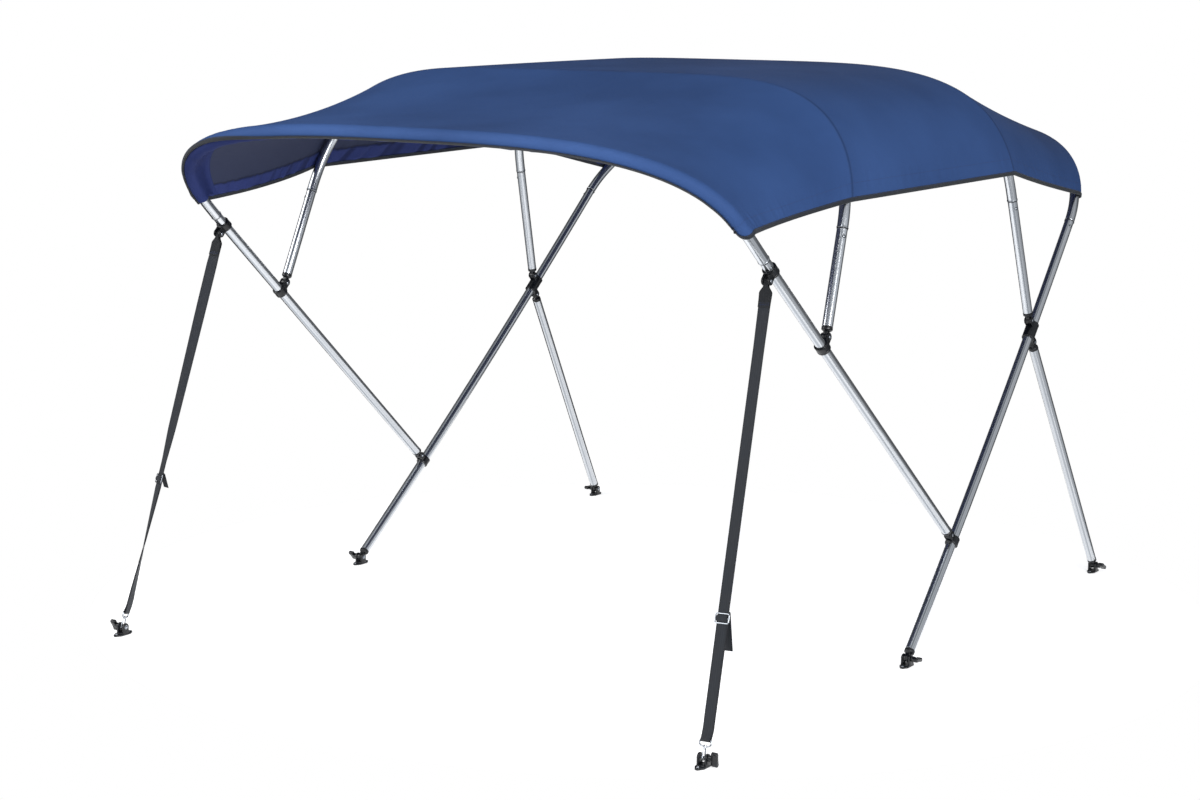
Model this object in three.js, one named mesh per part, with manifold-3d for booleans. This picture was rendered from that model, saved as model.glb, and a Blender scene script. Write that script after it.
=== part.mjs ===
// Bimini top: a stretched canopy on a folding frame of four bows, with straps and deck hinges.
// Millimetres, +Z up. X runs across, the strap end faces -Y and the rear braces stand at +Y.
import * as THREE from 'three';
import { mergeVertices } from 'three/addons/utils/BufferGeometryUtils.js';
import Module from 'manifold-3d';

const wasm = await Module();
wasm.setup();

// Clearances between neighbouring pieces
const GAP = 0.3;
const RUNNING_GAP = 0.5;

// Tubes of the frame
const LEG_RADIUS = 12.7;
const BOW_RADIUS = 13.3;
const LEG_SIDES = 12;
const BOW_SIDES = 10;
const ROUND_SIDES = 8;

// Side frames: the two leaning planes that hold the legs
const FOOT_HALF_WIDTH = 873;
const SIDE_LEAN = 0.0646;
const BOLT_HEIGHT = 21;
const MAIN_FOOT_Y = -189;
const REAR_FOOT_Y = 1020;
const STRAP_FOOT_Y = -1134;
const STRAP_FOOT_INSET = 9;
const MAIN_LEG_SAG = 17;
const MAIN_LEG_STEPS = 10;
const LEG_A_ON_MAIN_Y = 83;
const LEG_C_ON_MAIN_Y = 591.5;
const BRACE_E_ON_MAIN_Y = 585;
const LEG_B_BELOW_JOINT = 343;
const STRAP_BELOW_JOINT = 27;
const BOW_START_STEPS = [10, 36];

// Bows: joint on the leg, in-plane rise to the crown, shape powers, pull of the cloth on the
// crown, and how far up from the joint the cloth rim sits on the near and the far side
const BOWS = [
  { name: 'a', y: -834, z: 1049, rise: 330, shoulder: 3.2, crown: 3.65, pull: -0.118, near: 88, far: 56 },
  { name: 'b', y: -470, z: 1093.5, rise: 338.5, shoulder: 5.87, crown: 2.21, pull: 0.0379, near: 62, far: 62 },
  { name: 'c', y: 485, z: 1103, rise: 344.8, shoulder: 4.6, crown: 2.86, pull: -0.0297, near: 70, far: 84 },
  { name: 'd', y: 870.5, z: 1022, rise: 366.7, shoulder: 5.23, crown: 1.94, pull: -0.0477, near: 95, far: 95 },
];

// Cloth
const CLOTH_THICK = 1.5;
const HEM_WIDTH = 45;
const HEM_STEP = 3;
const HEM_FOLD = 1.2;
const BINDING_THICK = 1;
const BINDING_WIDTH = 9;
const BINDING_GAP = 0.8;
const RIM_CLEARANCE = 1.1;
const CLOTH_REACH = BOW_RADIUS + RIM_CLEARANCE + BINDING_THICK + BINDING_GAP + HEM_FOLD + CLOTH_THICK / 2;

// How the cloth wraps the two end bows: turn round the tube, straight lip past it, and how far
// the corner is cut back on the far and the near side
const FRONT_WRAP = [
  { turn: 130, lip: 0, far: 12, near: 24 },
  { turn: 100, lip: 0, far: 5, near: 14 },
  { turn: 75, lip: 0, far: 2, near: 7 },
  { turn: 50, lip: 0, far: 0.6, near: 3 },
  { turn: 25, lip: 0, far: 0, near: 1 },
];
// On the far side the front edge turns less: a share of the turn, eased to all of it along the bow
const FAR_EASE = { least: 0.85, from: 0.05, to: 0.4 };
const REAR_WRAP = [
  { turn: 60, lip: 9, far: 15, near: 15 },
  { turn: 60, lip: 0, far: 6, near: 6 },
  { turn: 40, lip: 0, far: 2.5, near: 2.5 },
  { turn: 20, lip: 0, far: 0.8, near: 0.8 },
];

// Rows of each panel between its bows, and how far it dips below a straight line
const PANELS = [
  { name: 'canopy_front', rows: 7, sag: 24 },
  { name: 'canopy_middle', rows: 4, sag: -1.1 },
  { name: 'canopy_rear', rows: 5, sag: 7.9 },
];
const HALF_ARC = 932;
const COLUMN_REACH = [95, 140, 180, 215, 250, 285, 320, 360, 410, 475, 570, 720];

// Front bow sleeve, as a section round the tube: angle from its outward side over the front, and
// radius; where the cloth turns less it starts higher, and stands off a little more
const SLEEVE_THICK = 1;
const SLEEVE_TRIM = 40;
const SLEEVE_SEAM_AT = 88;
const SLEEVE_STAND_OFF = 0.15;
const SLEEVE_SECTION = [
  { angle: 150.4, radius: 15 },
  { angle: 168.2, radius: 14.6 },
  { angle: 198, radius: 14.8 },
  { angle: 234, radius: 16 },
];

// Eye ends and jaw sliders
const EYE = { radius: 9.5, bore: 3.9, thick: 11.2, neck: 14, neckEnd: 17, collarStart: 16, reach: 24, collarRadius: 13.1 };
const PIVOT_OFFSET = 27.5;
const SLIDER = { outer: 17, bore: 13.6, length: 22 };
const EAR = { thick: 4, gap: 12.2, radius: 10, half: 9.5, foot: 12.6 };
const PIN = { radius: 3, past: 0.5, headRadius: 4.3, headThick: 1.8, headSunk: 0.2 };

// Deck hinges and their thumb screws
const BASE = { length: 60, width: 24, thick: 5, shoulder: 16, tip: 6.5, tipStart: 0.35, screw: 2.5, screwAt: 22.5 };
const LUG = { gap: 14.6, thick: 4.6, radius: 10, bore: 3.7, foot: 4 };
const SCREW = { shank: 3, inner: -14.5, hubStart: 12.4, hubEnd: 22, hubRadius: 7, bladeEnd: 35 };
const BLADE = { half: 16.5, waist: 4.2, end: 5.5, start: 20.5 };
const THUMB_TURNS = {
  strap: { right: 6, left: -28 },
  main: { right: 82, left: -45 },
  rear: { right: 62, left: -84 },
};

// Straps, buckles and hooks
const WEB = { width: 30, thick: 1.5, pinch: 10.4, pinchEnd: 13, flareEnd: 48, loop: 58, hookWidth: 26, hookTaper: 24 };
const WEB_LOOP = { waist: 0.55, bulge: 1.2, ease: 0.4 };
const HOOK = { height: 36, wire: 1.6, ringWidth: 13, bar: 1.8, loopWidth: 35, loopHeight: 12, corner: 5, rise: 4 };
const HOOK_NECK = { radius: 3.4, length: 6, up: -0.5, sides: 10 };
const BUCKLE = { width: 40, height: 24, thick: 2.4, slotWidth: 32, slot: 7, bar: 4, play: 0.4 };

// The upper part of the hook's ring, as shares of its half width and of its height
const RING_SHOULDERS = [
  { out: 0.95, up: 0.45 },
  { out: 0.45, up: 0.96 },
  { out: -0.45, up: 0.96 },
  { out: -0.95, up: 0.45 },
];

// Webbing through the buckle by distance below its middle: side of the buckle's plane
const WEAVE = [
  { below: -16, side: 1 },
  { below: -8, side: 1 },
  { below: -3.2, side: -1 },
  { below: 3.2, side: -1 },
  { below: 8, side: 1 },
  { below: 16, side: 1 },
];

// The returned end of the webbing at the buckle: distance below its middle, and drop off the back
const RETURN = [
  { below: 14, drop: 0 },
  { below: -12, drop: 0 },
  { below: -15, drop: 1.6 },
  { below: -12, drop: 3.4 },
];
const TAIL_SHARES = [0.1, 0.4, 0.7, 1];
const RUN_SHARES = [0.35, 0.7];
const HALF_TURN = [0, 45, 90, 135, 180];
const UPPER_RUN_STEPS = 6;
const HOOK_BEND_ABOVE = 22;
const STRAP_SIDES = {
  right: { buckleAt: 736, tail: 78, drift: 24, turns: [{ at: 0.03, turn: 180 }, { at: 0.14, turn: 173 }, { at: 1, turn: 170 }] },
  left: {
    buckleAt: 646,
    tail: 30,
    drift: 17,
    turns: [
      { at: 0.02, turn: 0 },
      { at: 0.08, turn: 12 },
      { at: 0.18, turn: 11 },
      { at: 0.5, turn: -9 },
      { at: 0.58, turn: -25 },
      { at: 0.65, turn: -25 },
      { at: 0.78, turn: -44 },
      { at: 0.93, turn: -70 },
      { at: 1, turn: -70 },
    ],
  },
};

// Finishes
const FINISH = {
  cloth: { color: 0x1d3f7c, roughness: 0.85, metalness: 0 },
  binding: { color: 0x22262a, roughness: 0.9, metalness: 0 },
  sleeve: { color: 0x1b2f5e, roughness: 0.9, metalness: 0 },
  tube: { color: 0xc9ced4, roughness: 0.3, metalness: 1 },
  nylon: { color: 0x141416, roughness: 0.55, metalness: 0 },
  webbing: { color: 0x1a1b1e, roughness: 0.9, metalness: 0 },
  steel: { color: 0xd5d8dc, roughness: 0.22, metalness: 1 },
};

const part = new THREE.Group();
const radians = THREE.MathUtils.degToRad;
const vec = (x, y, z) => new THREE.Vector3(x, y, z);

// Adds one named piece to a parent group
function addPiece(name, geometry, finish, parent = part) {
  const material = new THREE.MeshStandardMaterial(FINISH[finish]);
  const mesh = new THREE.Mesh(geometry, material);
  mesh.name = name;
  parent.add(mesh);
  return mesh;
}

// Closed solids for joining and cutting
function toSolid(geometry) {
  const bare = geometry.clone();
  bare.deleteAttribute('normal');
  bare.deleteAttribute('uv');
  const merged = mergeVertices(bare, 1e-4);
  return new wasm.Manifold(new wasm.Mesh({
    numProp: 3,
    vertProperties: Float32Array.from(merged.attributes.position.array),
    triVerts: Uint32Array.from(merged.index.array),
  }));
}

function toGeometry(solid) {
  const mesh = solid.getMesh();
  const geometry = new THREE.BufferGeometry();
  geometry.setAttribute('position', new THREE.BufferAttribute(mesh.vertProperties, 3));
  geometry.setIndex(new THREE.BufferAttribute(mesh.triVerts, 1));
  geometry.computeVertexNormals();
  return geometry;
}

const joined = (shapes) => toGeometry(shapes.map(toSolid).reduce((a, b) => a.add(b)));

// A flat outline in the Y-Z plane, given thickness along X and centred on it
function plateAlongX(shape, thick, centreX, curveSegments = 4) {
  const geometry = new THREE.ExtrudeGeometry(shape, { depth: thick, bevelEnabled: false, curveSegments });
  geometry.translate(0, 0, -thick / 2);
  geometry.applyMatrix4(new THREE.Matrix4().makeBasis(vec(0, 1, 0), vec(0, 0, 1), vec(1, 0, 0)));
  geometry.translate(centreX, 0, 0);
  return geometry;
}

// A plate with one round end at the origin and a straight foot at the given height
function tongueShape(radius, halfWidth, foot, bore) {
  const shape = new THREE.Shape();
  const rise = Math.sqrt(Math.max(radius * radius - halfWidth * halfWidth, 0));
  const side = Math.sign(foot);
  shape.moveTo(halfWidth, foot);
  shape.lineTo(halfWidth, side * rise);
  const start = Math.atan2(side * rise, halfWidth);
  shape.absarc(0, 0, radius, start, Math.PI - start, side > 0);
  shape.lineTo(-halfWidth, foot);
  if (bore > 0) {
    const hole = new THREE.Path();
    hole.absarc(0, 0, bore, 0, 2 * Math.PI, false);
    shape.holes.push(hole);
  }
  return shape;
}

function rodAlongX(radius, from, to) {
  const rod = new THREE.CylinderGeometry(radius, radius, to - from, ROUND_SIDES);
  rod.rotateZ(Math.PI / 2);
  rod.translate((from + to) / 2, 0, 0);
  return rod;
}

// A path through given points, with its steps at those points
class StationPath extends THREE.Curve {
  constructor(points, closed = false) {
    super();
    this.points = points;
    this.closed = closed;
  }

  pointAt(index) {
    const count = this.points.length;
    return this.points[this.closed ? (index + count) % count : THREE.MathUtils.clamp(index, 0, count - 1)];
  }

  steps() {
    return this.closed ? this.points.length : this.points.length - 1;
  }

  getPoint(t, target = new THREE.Vector3()) {
    return target.copy(this.pointAt(Math.round(t * this.steps())));
  }

  getPointAt(t, target) {
    return this.getPoint(t, target);
  }

  getTangentAt(t, target = new THREE.Vector3()) {
    const index = Math.round(t * this.steps());
    const before = this.pointAt(index).clone().sub(this.pointAt(index - 1));
    const after = this.pointAt(index + 1).clone().sub(this.pointAt(index));
    return target.copy(before.normalize()).add(after.normalize()).normalize();
  }
}

function roundTube(points, radius, sides, closed = false) {
  const circle = new THREE.Shape();
  for (let k = 0; k < sides; k += 1) {
    const angle = (2 * Math.PI * k) / sides;
    const act = k === 0 ? 'moveTo' : 'lineTo';
    circle[act](radius * Math.cos(angle), radius * Math.sin(angle));
  }
  const path = new StationPath(points, closed);
  return new THREE.ExtrudeGeometry(circle, { steps: path.steps(), extrudePath: path, bevelEnabled: false });
}

// Geometry of one side frame: a leaning plane with its outward normal
const leanAngle = Math.atan(SIDE_LEAN);
const sideX = (z) => FOOT_HALF_WIDTH - SIDE_LEAN * z;

function sideFrame(side) {
  const sign = side === 'right' ? 1 : -1;
  return {
    side,
    sign,
    outward: vec(sign * Math.cos(leanAngle), 0, Math.sin(leanAngle)),
    point: (at) => vec(sign * sideX(at.z), at.y, at.z),
  };
}

// A group at a point, with X outward and Z along a direction
function placed(frame, origin, along, outward = frame.outward) {
  const z = along.clone().normalize();
  const x = outward.clone().addScaledVector(z, -outward.dot(z)).normalize();
  const y = new THREE.Vector3().crossVectors(z, x);
  const group = new THREE.Group();
  group.quaternion.setFromRotationMatrix(new THREE.Matrix4().makeBasis(x, y, z));
  group.position.copy(origin);
  part.add(group);
  return group;
}

// Main leg: a straight line from the foot to the bow joint, sagging in its middle
const mainFoot = { y: MAIN_FOOT_Y, z: BOLT_HEIGHT };
const mainBow = BOWS[3];

function mainLegAt(share) {
  return {
    y: THREE.MathUtils.lerp(mainFoot.y, mainBow.y, share),
    z: THREE.MathUtils.lerp(mainFoot.z, mainBow.z, share) - 4 * MAIN_LEG_SAG * share * (1 - share),
  };
}

function mainLegShareAt(y) {
  return (y - mainFoot.y) / (mainBow.y - mainFoot.y);
}

// Unit direction in the side plane between two points given by y and z
function heading(from, to) {
  const length = Math.hypot(to.y - from.y, to.z - from.z);
  return { y: (to.y - from.y) / length, z: (to.z - from.z) / length };
}

const mainHeadingAt = (y) => heading(mainLegAt(mainLegShareAt(y) - 0.02), mainLegAt(mainLegShareAt(y) + 0.02));

// A point some way down a straight leg from its bow joint
function belowJoint(bow, dir, reach) {
  return { y: bow.y - dir.y * reach, z: bow.z - dir.z * reach };
}

const legAStart = mainLegAt(mainLegShareAt(LEG_A_ON_MAIN_Y));
const legCStart = mainLegAt(mainLegShareAt(LEG_C_ON_MAIN_Y));
const braceTop = mainLegAt(mainLegShareAt(BRACE_E_ON_MAIN_Y));
const legAHeading = heading(legAStart, BOWS[0]);
const legBStart = belowJoint(BOWS[0], legAHeading, LEG_B_BELOW_JOINT);
const strapCrossing = belowJoint(BOWS[0], legAHeading, STRAP_BELOW_JOINT);

const LEG_HEADINGS = {
  a: legAHeading,
  b: heading(legBStart, BOWS[1]),
  c: heading(legCStart, BOWS[2]),
  d: heading(mainLegAt(0.98), mainLegAt(1)),
};

// Where a leg's pivot sits beside the tube that carries it, and where the slider sits on that tube
function pivotBeside(crossing, leg, host) {
  const across = Math.abs(leg.y * host.z - leg.z * host.y);
  const reach = PIVOT_OFFSET / across;
  const pivot = { y: crossing.y + leg.y * reach, z: crossing.z + leg.z * reach };
  const along = reach * (leg.y * host.y + leg.z * host.z);
  return { pivot, seat: { y: crossing.y + host.y * along, z: crossing.z + host.z * along } };
}

// Bow centre line by distance up from the joint, on one side of the middle
function bowPoint(bow, up, sign) {
  const dir = LEG_HEADINGS[bow.name];
  const share = THREE.MathUtils.clamp(up / bow.rise, 0, 1);
  const half = sideX(bow.z) - SIDE_LEAN * dir.z * up;
  const x = half * (1 - share ** bow.crown) ** (1 / bow.shoulder);
  const pull = bow.pull * up * share;
  return vec(sign * x, bow.y + dir.y * up - dir.z * pull, bow.z + dir.z * up + dir.y * pull);
}

// The bow from its far rim to its near rim as a long fine line, measured along its length
const FINE_STEPS = 700;

function bowLine(bow, farUp, nearUp) {
  const points = [];
  for (let k = -FINE_STEPS; k <= FINE_STEPS; k += 1) {
    const start = k < 0 ? farUp : nearUp;
    const rise = Math.sin((1 - Math.abs(k) / FINE_STEPS) * Math.PI / 2);
    points.push(bowPoint(bow, start + (bow.rise - start) * rise, k < 0 ? -1 : 1));
  }
  const lengths = [0];
  for (let k = 1; k < points.length; k += 1) {
    lengths.push(lengths[k - 1] + points[k].distanceTo(points[k - 1]));
  }
  return (share) => {
    const target = share * lengths[lengths.length - 1];
    let k = 1;
    while (k < lengths.length - 1 && lengths[k] < target) {
      k += 1;
    }
    const part01 = (target - lengths[k - 1]) / (lengths[k] - lengths[k - 1]);
    return points[k - 1].clone().lerp(points[k], part01);
  };
}

// Columns of the cloth: shares of the arc from the far rim to the near rim
const halfColumns = [0, HEM_WIDTH, HEM_WIDTH + HEM_STEP, ...COLUMN_REACH].map((reach) => reach / HALF_ARC / 2);
const columns = [...halfColumns, 0.5, ...halfColumns.map((share) => 1 - share).reverse()];
const hemColumns = (j) => j < 2 || j > columns.length - 3;
const HEM_STEP_COLUMN = 2;

const bowCurves = BOWS.map((bow) => columns.map((share) => bowLine(bow, bow.far, bow.near)(share)));

const curveTangent = (curve, j) => curve[Math.min(j + 1, curve.length - 1)].clone()
  .sub(curve[Math.max(j - 1, 0)]).normalize();

// Frame of the cloth on a bow at each column: aft along the cloth, and outward from the tube
function bowFrames(index) {
  return bowCurves[index].map((centre, j) => {
    const tangent = curveTangent(bowCurves[index], j);
    const aft = new THREE.Vector3();
    if (index > 0) {
      aft.add(centre.clone().sub(bowCurves[index - 1][j]).normalize());
    }
    if (index < BOWS.length - 1) {
      aft.add(bowCurves[index + 1][j].clone().sub(centre).normalize());
    }
    aft.addScaledVector(tangent, -aft.dot(tangent)).normalize();
    const out = new THREE.Vector3().crossVectors(tangent, aft).normalize();
    return { centre, aft, out };
  });
}

const frames = BOWS.map((bow, index) => bowFrames(index));

// Stations across the cloth with the two end ones moved in along their chord
function insetEnds(stations, far, near) {
  const last = stations.length - 1;
  return stations.map((here, j) => {
    if (j > 0 && j < last) {
      return here;
    }
    const next = stations[j === 0 ? 1 : last - 1];
    const share = (j === 0 ? far : near) / HEM_WIDTH;
    const mix = (key) => [key, here[key].clone().lerp(next[key], share)];
    return Object.fromEntries(Object.keys(here).map(mix));
  });
}

// Share of the front turn at each column
const turnShares = columns.map((share) => THREE.MathUtils.lerp(
  FAR_EASE.least, 1, THREE.MathUtils.smoothstep(share, FAR_EASE.from, FAR_EASE.to),
));

// Rows of the cloth, from the front lip over the four bows to the rear lip
function wrapRow(index, sign, { turn, lip, far, near }) {
  return insetEnds(frames[index], far, near).map(({ centre, aft, out }, j) => {
    const angle = radians(turn) * (index === 0 ? turnShares[j] : 1);
    return centre.clone()
      .addScaledVector(out, CLOTH_REACH * Math.cos(angle) - lip * Math.sin(angle))
      .addScaledVector(aft, sign * (CLOTH_REACH * Math.sin(angle) + lip * Math.cos(angle)));
  });
}

const contactRow = (index) => frames[index].map(({ centre, out }) => centre.clone().addScaledVector(out, CLOTH_REACH));

function panelRow(index, share) {
  const from = contactRow(index);
  const to = contactRow(index + 1);
  const dip = 4 * share * (1 - share) * PANELS[index].sag;
  return from.map((point, j) => {
    const out = frames[index][j].out.clone().add(frames[index + 1][j].out).normalize();
    return point.clone().lerp(to[j], share).addScaledVector(out, -dip);
  });
}

const clothRows = FRONT_WRAP.map((wrap) => wrapRow(0, -1, wrap));
const seamRows = [clothRows.length];
PANELS.forEach((panel, index) => {
  for (let k = index === 0 ? 0 : 1; k <= panel.rows; k += 1) {
    clothRows.push(panelRow(index, k / panel.rows));
  }
  seamRows.push(clothRows.length - 1);
});
clothRows.push(...REAR_WRAP.map((wrap) => wrapRow(BOWS.length - 1, 1, wrap)).reverse());

const lastRow = clothRows.length - 1;
const lastColumn = columns.length - 1;

// Outward normal of the cloth at a grid point
function clothNormal(i, j) {
  const along = clothRows[Math.min(i + 1, lastRow)][j].clone().sub(clothRows[Math.max(i - 1, 0)][j]);
  const around = clothRows[i][Math.min(j + 1, lastColumn)].clone().sub(clothRows[i][Math.max(j - 1, 0)]);
  return new THREE.Vector3().crossVectors(around, along).normalize();
}

const clothNormals = clothRows.map((row, i) => row.map((point, j) => clothNormal(i, j)));

// Splits the cells of a sheet's two faces along matching diagonals, so that they stay parallel.
// A box's cell is the six indices a b d b c d, split from b to d, mirrored on its back face.
function matchDiagonals(box, rowCount, turnedAt) {
  const { index, groups, attributes: { position } } = box;
  groups.slice(-2).forEach(({ start, count }, face) => {
    for (let k = start; k < start + count; k += 6) {
      const [a, b, d, , c] = Array.from(index.array.slice(k, k + 6));
      const row = Math.round((Math.min(position.getY(a), position.getY(b)) + 0.5) * (rowCount - 1));
      if ((face === 1) !== turnedAt(row)) {
        index.array.set([a, b, c, a, c, d], k);
      }
    }
  });
}

// A closed sheet over a grid: maps a box's grid points by row, column and face
function sheetGeometry(rowCount, columnCount, place, turnedAt = () => false) {
  const box = new THREE.BoxGeometry(1, 1, 1, columnCount - 1, rowCount - 1, 1);
  const position = box.attributes.position;
  matchDiagonals(box, rowCount, turnedAt);
  for (let k = 0; k < position.count; k += 1) {
    const j = Math.round((position.getX(k) + 0.5) * (columnCount - 1));
    const i = Math.round((position.getY(k) + 0.5) * (rowCount - 1));
    const point = place(i, j, position.getZ(k) > 0);
    position.setXYZ(k, point.x, point.y, point.z);
  }
  box.computeVertexNormals();
  return box;
}

function addPanel(index) {
  const first = index === 0 ? 0 : seamRows[index];
  const last = index === PANELS.length - 1 ? lastRow : seamRows[index + 1];
  const geometry = sheetGeometry(last - first + 1, columns.length, (row, j, outer) => {
    const i = first + row;
    const point = clothRows[i][j].clone();
    const seam = (i === first && index > 0) ? i + 1 : i - 1;
    if ((i === first && index > 0) || (i === last && index < PANELS.length - 1)) {
      point.addScaledVector(clothRows[seam][j].clone().sub(point).normalize(), GAP / 2);
    }
    const inner = -CLOTH_THICK / 2 - (hemColumns(j) ? HEM_FOLD : 0);
    return point.addScaledVector(clothNormals[i][j], outer ? CLOTH_THICK / 2 : inner);
  });
  addPiece(PANELS[index].name, geometry, 'cloth');
}

PANELS.forEach((panel, index) => addPanel(index));

// Edge binding: a folded tape round the whole rim of the cloth
function rimStations() {
  const stations = [];
  for (let j = 0; j < lastColumn; j += 1) {
    stations.push({ i: 0, j });
  }
  for (let i = 0; i < lastRow; i += 1) {
    stations.push({ i, j: lastColumn });
  }
  for (let j = lastColumn; j > 0; j -= 1) {
    stations.push({ i: lastRow, j });
  }
  for (let i = lastRow; i > 0; i -= 1) {
    stations.push({ i, j: 0 });
  }
  return stations;
}

const bindingOuter = CLOTH_THICK / 2 + BINDING_GAP;
const bindingInner = -CLOTH_THICK / 2 - HEM_FOLD - BINDING_GAP;
const BINDING_SECTION = [
  { inward: BINDING_WIDTH, out: bindingOuter + BINDING_THICK },
  { inward: BINDING_WIDTH, out: bindingOuter },
  { inward: -BINDING_GAP, out: bindingOuter },
  { inward: -BINDING_GAP, out: bindingInner },
  { inward: BINDING_WIDTH, out: bindingInner },
  { inward: BINDING_WIDTH, out: bindingInner - BINDING_THICK },
  { inward: -BINDING_GAP - BINDING_THICK, out: bindingInner - BINDING_THICK },
  { inward: -BINDING_GAP - BINDING_THICK, out: bindingOuter + BINDING_THICK },
];

// Direction into the cloth from a rim point, along its row or its column
function towardsMiddle(i, j) {
  const row = THREE.MathUtils.clamp(i, 1, lastRow - 1);
  const column = THREE.MathUtils.clamp(j, 1, lastColumn - 1);
  const across = clothRows[i][column].clone().sub(clothRows[i][j]).normalize();
  const along = clothRows[row][j].clone().sub(clothRows[i][j]).normalize();
  return { across, along, cornered: row !== i && column !== j, onRow: row !== i };
}

function bindingFrames() {
  const stations = rimStations();
  const count = stations.length;
  const point = (k) => {
    const { i, j } = stations[(k + count) % count];
    return clothRows[i][j];
  };
  return stations.map(({ i, j }, k) => {
    const { across, along, cornered, onRow } = towardsMiddle(i, j);
    const frame = { point: point(k), out: clothNormals[i][j] };
    if (cornered) {
      return { ...frame, inward: across.clone().add(along).divideScalar(across.clone().cross(along).length()) };
    }
    const edge = point(k + 1).clone().sub(point(k)).normalize();
    edge.add(point(k).clone().sub(point(k - 1)).normalize()).normalize();
    const inward = onRow ? along : across;
    return { ...frame, inward: inward.clone().divideScalar(inward.clone().cross(edge).length()) };
  });
}

function addBinding() {
  const rim = bindingFrames();
  const sides = BINDING_SECTION.length;
  const ring = new THREE.TorusGeometry(2, 1, sides, rim.length);
  const position = ring.attributes.position;
  for (let k = 0; k < position.count; k += 1) {
    const side = Math.floor(k / (rim.length + 1)) % sides;
    const station = rim[(k % (rim.length + 1)) % rim.length];
    const corner = BINDING_SECTION[side];
    const placedPoint = station.point.clone()
      .addScaledVector(station.inward, corner.inward)
      .addScaledVector(station.out, corner.out);
    position.setXYZ(k, placedPoint.x, placedPoint.y, placedPoint.z);
  }
  ring.computeVertexNormals();
  addPiece('edge_binding', ring, 'binding');
}

addBinding();

// Front bow sleeve: a strip under the front bow, up to its seam on the cloth behind it
function sleeveColumn(j) {
  const row = seamRows[0] + 1;
  const pitch = clothRows[row][j].distanceTo(clothRows[row - 1][j]);
  const share = SLEEVE_SEAM_AT / pitch - 1;
  return {
    ...frames[0][j],
    seam: clothRows[row][j].clone().lerp(clothRows[row + 1][j], share),
    normal: clothNormals[row][j].clone().lerp(clothNormals[row + 1][j], share).normalize(),
  };
}

// Section of the sleeve at a column, stretched from its fixed rear end to where the cloth's turn ends
function sleeveSpot(row, j) {
  const first = SLEEVE_SECTION[0];
  const end = SLEEVE_SECTION[SLEEVE_SECTION.length - 1];
  const start = first.angle - FRONT_WRAP[0].turn * (1 - turnShares[j]);
  const stretch = (end.angle - start) / (end.angle - first.angle);
  const angle = radians(end.angle - (end.angle - SLEEVE_SECTION[row].angle) * stretch);
  const radius = SLEEVE_SECTION[row].radius * (1 + SLEEVE_STAND_OFF * (stretch - 1));
  return { aft: -radius * Math.sin(angle), out: radius * Math.cos(angle) };
}

function addSleeve() {
  const stations = insetEnds(columns.map((share, j) => sleeveColumn(j)), SLEEVE_TRIM, SLEEVE_TRIM);
  const last = SLEEVE_SECTION.length;
  const geometry = sheetGeometry(last + 1, columns.length, (row, j, outer) => {
    const { centre, aft, out, seam, normal } = stations[j];
    const depth = outer ? 0 : SLEEVE_THICK;
    if (row === last) {
      return seam.clone().addScaledVector(normal, -CLOTH_THICK / 2 - HEM_FOLD - RUNNING_GAP - depth);
    }
    const spot = sleeveSpot(row, j);
    const before = sleeveSpot(Math.max(row - 1, 0), j);
    const after = sleeveSpot(Math.min(row + 1, last - 1), j);
    const run = Math.hypot(after.aft - before.aft, after.out - before.out);
    return centre.clone()
      .addScaledVector(aft, spot.aft + ((after.out - before.out) / run) * depth)
      .addScaledVector(out, spot.out - ((after.aft - before.aft) / run) * depth);
  });
  addPiece('front_bow_sleeve', geometry, 'sleeve');
}

addSleeve();

// Bow tubes, from joint to joint along the same stations as the cloth
BOWS.forEach((bow, index) => {
  const starts = (sign) => [0, ...BOW_START_STEPS].map((up) => bowPoint(bow, up, sign));
  const curve = bowCurves[index].filter((point, j) => Math.min(j, lastColumn - j) !== HEM_STEP_COLUMN);
  const points = [...starts(-1), ...curve, ...starts(1).reverse()];
  addPiece(`bow_${bow.name}`, roundTube(points, BOW_RADIUS, BOW_SIDES), 'tube');
});

// Eye end: a plastic cap with a flat eye, its pivot at the origin and the tube up along Z
function eyeEndGeometry() {
  const eye = plateAlongX(tongueShape(EYE.radius, EYE.neck / 2, EYE.neckEnd, EYE.bore), EYE.thick, 0);
  const collarLength = EYE.reach - GAP - EYE.collarStart;
  const collar = new THREE.CylinderGeometry(EYE.collarRadius, EYE.collarRadius, collarLength, LEG_SIDES);
  collar.rotateX(Math.PI / 2);
  collar.translate(0, 0, EYE.collarStart + collarLength / 2);
  return joined([eye, collar]);
}

function addEyeEnd(name, frame, pivot, towards) {
  const group = placed(frame, frame.point(pivot), frame.point(towards).sub(frame.point(pivot)));
  addPiece(`eye_end_${name}_${frame.side}`, eyeEndGeometry(), 'nylon', group);
}

// Straight leg between two points of the side plane, set back from each by a reach
function addStraightLeg(name, frame, from, to, backFrom, backTo) {
  const start = frame.point(from);
  const end = frame.point(to);
  const length = start.distanceTo(end) - backFrom - backTo;
  const tube = new THREE.CylinderGeometry(LEG_RADIUS, LEG_RADIUS, length, LEG_SIDES);
  tube.rotateX(Math.PI / 2);
  tube.translate(0, 0, backFrom + length / 2);
  const group = placed(frame, start, end.clone().sub(start));
  addPiece(`${name}_${frame.side}`, tube, 'tube', group);
}

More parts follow.
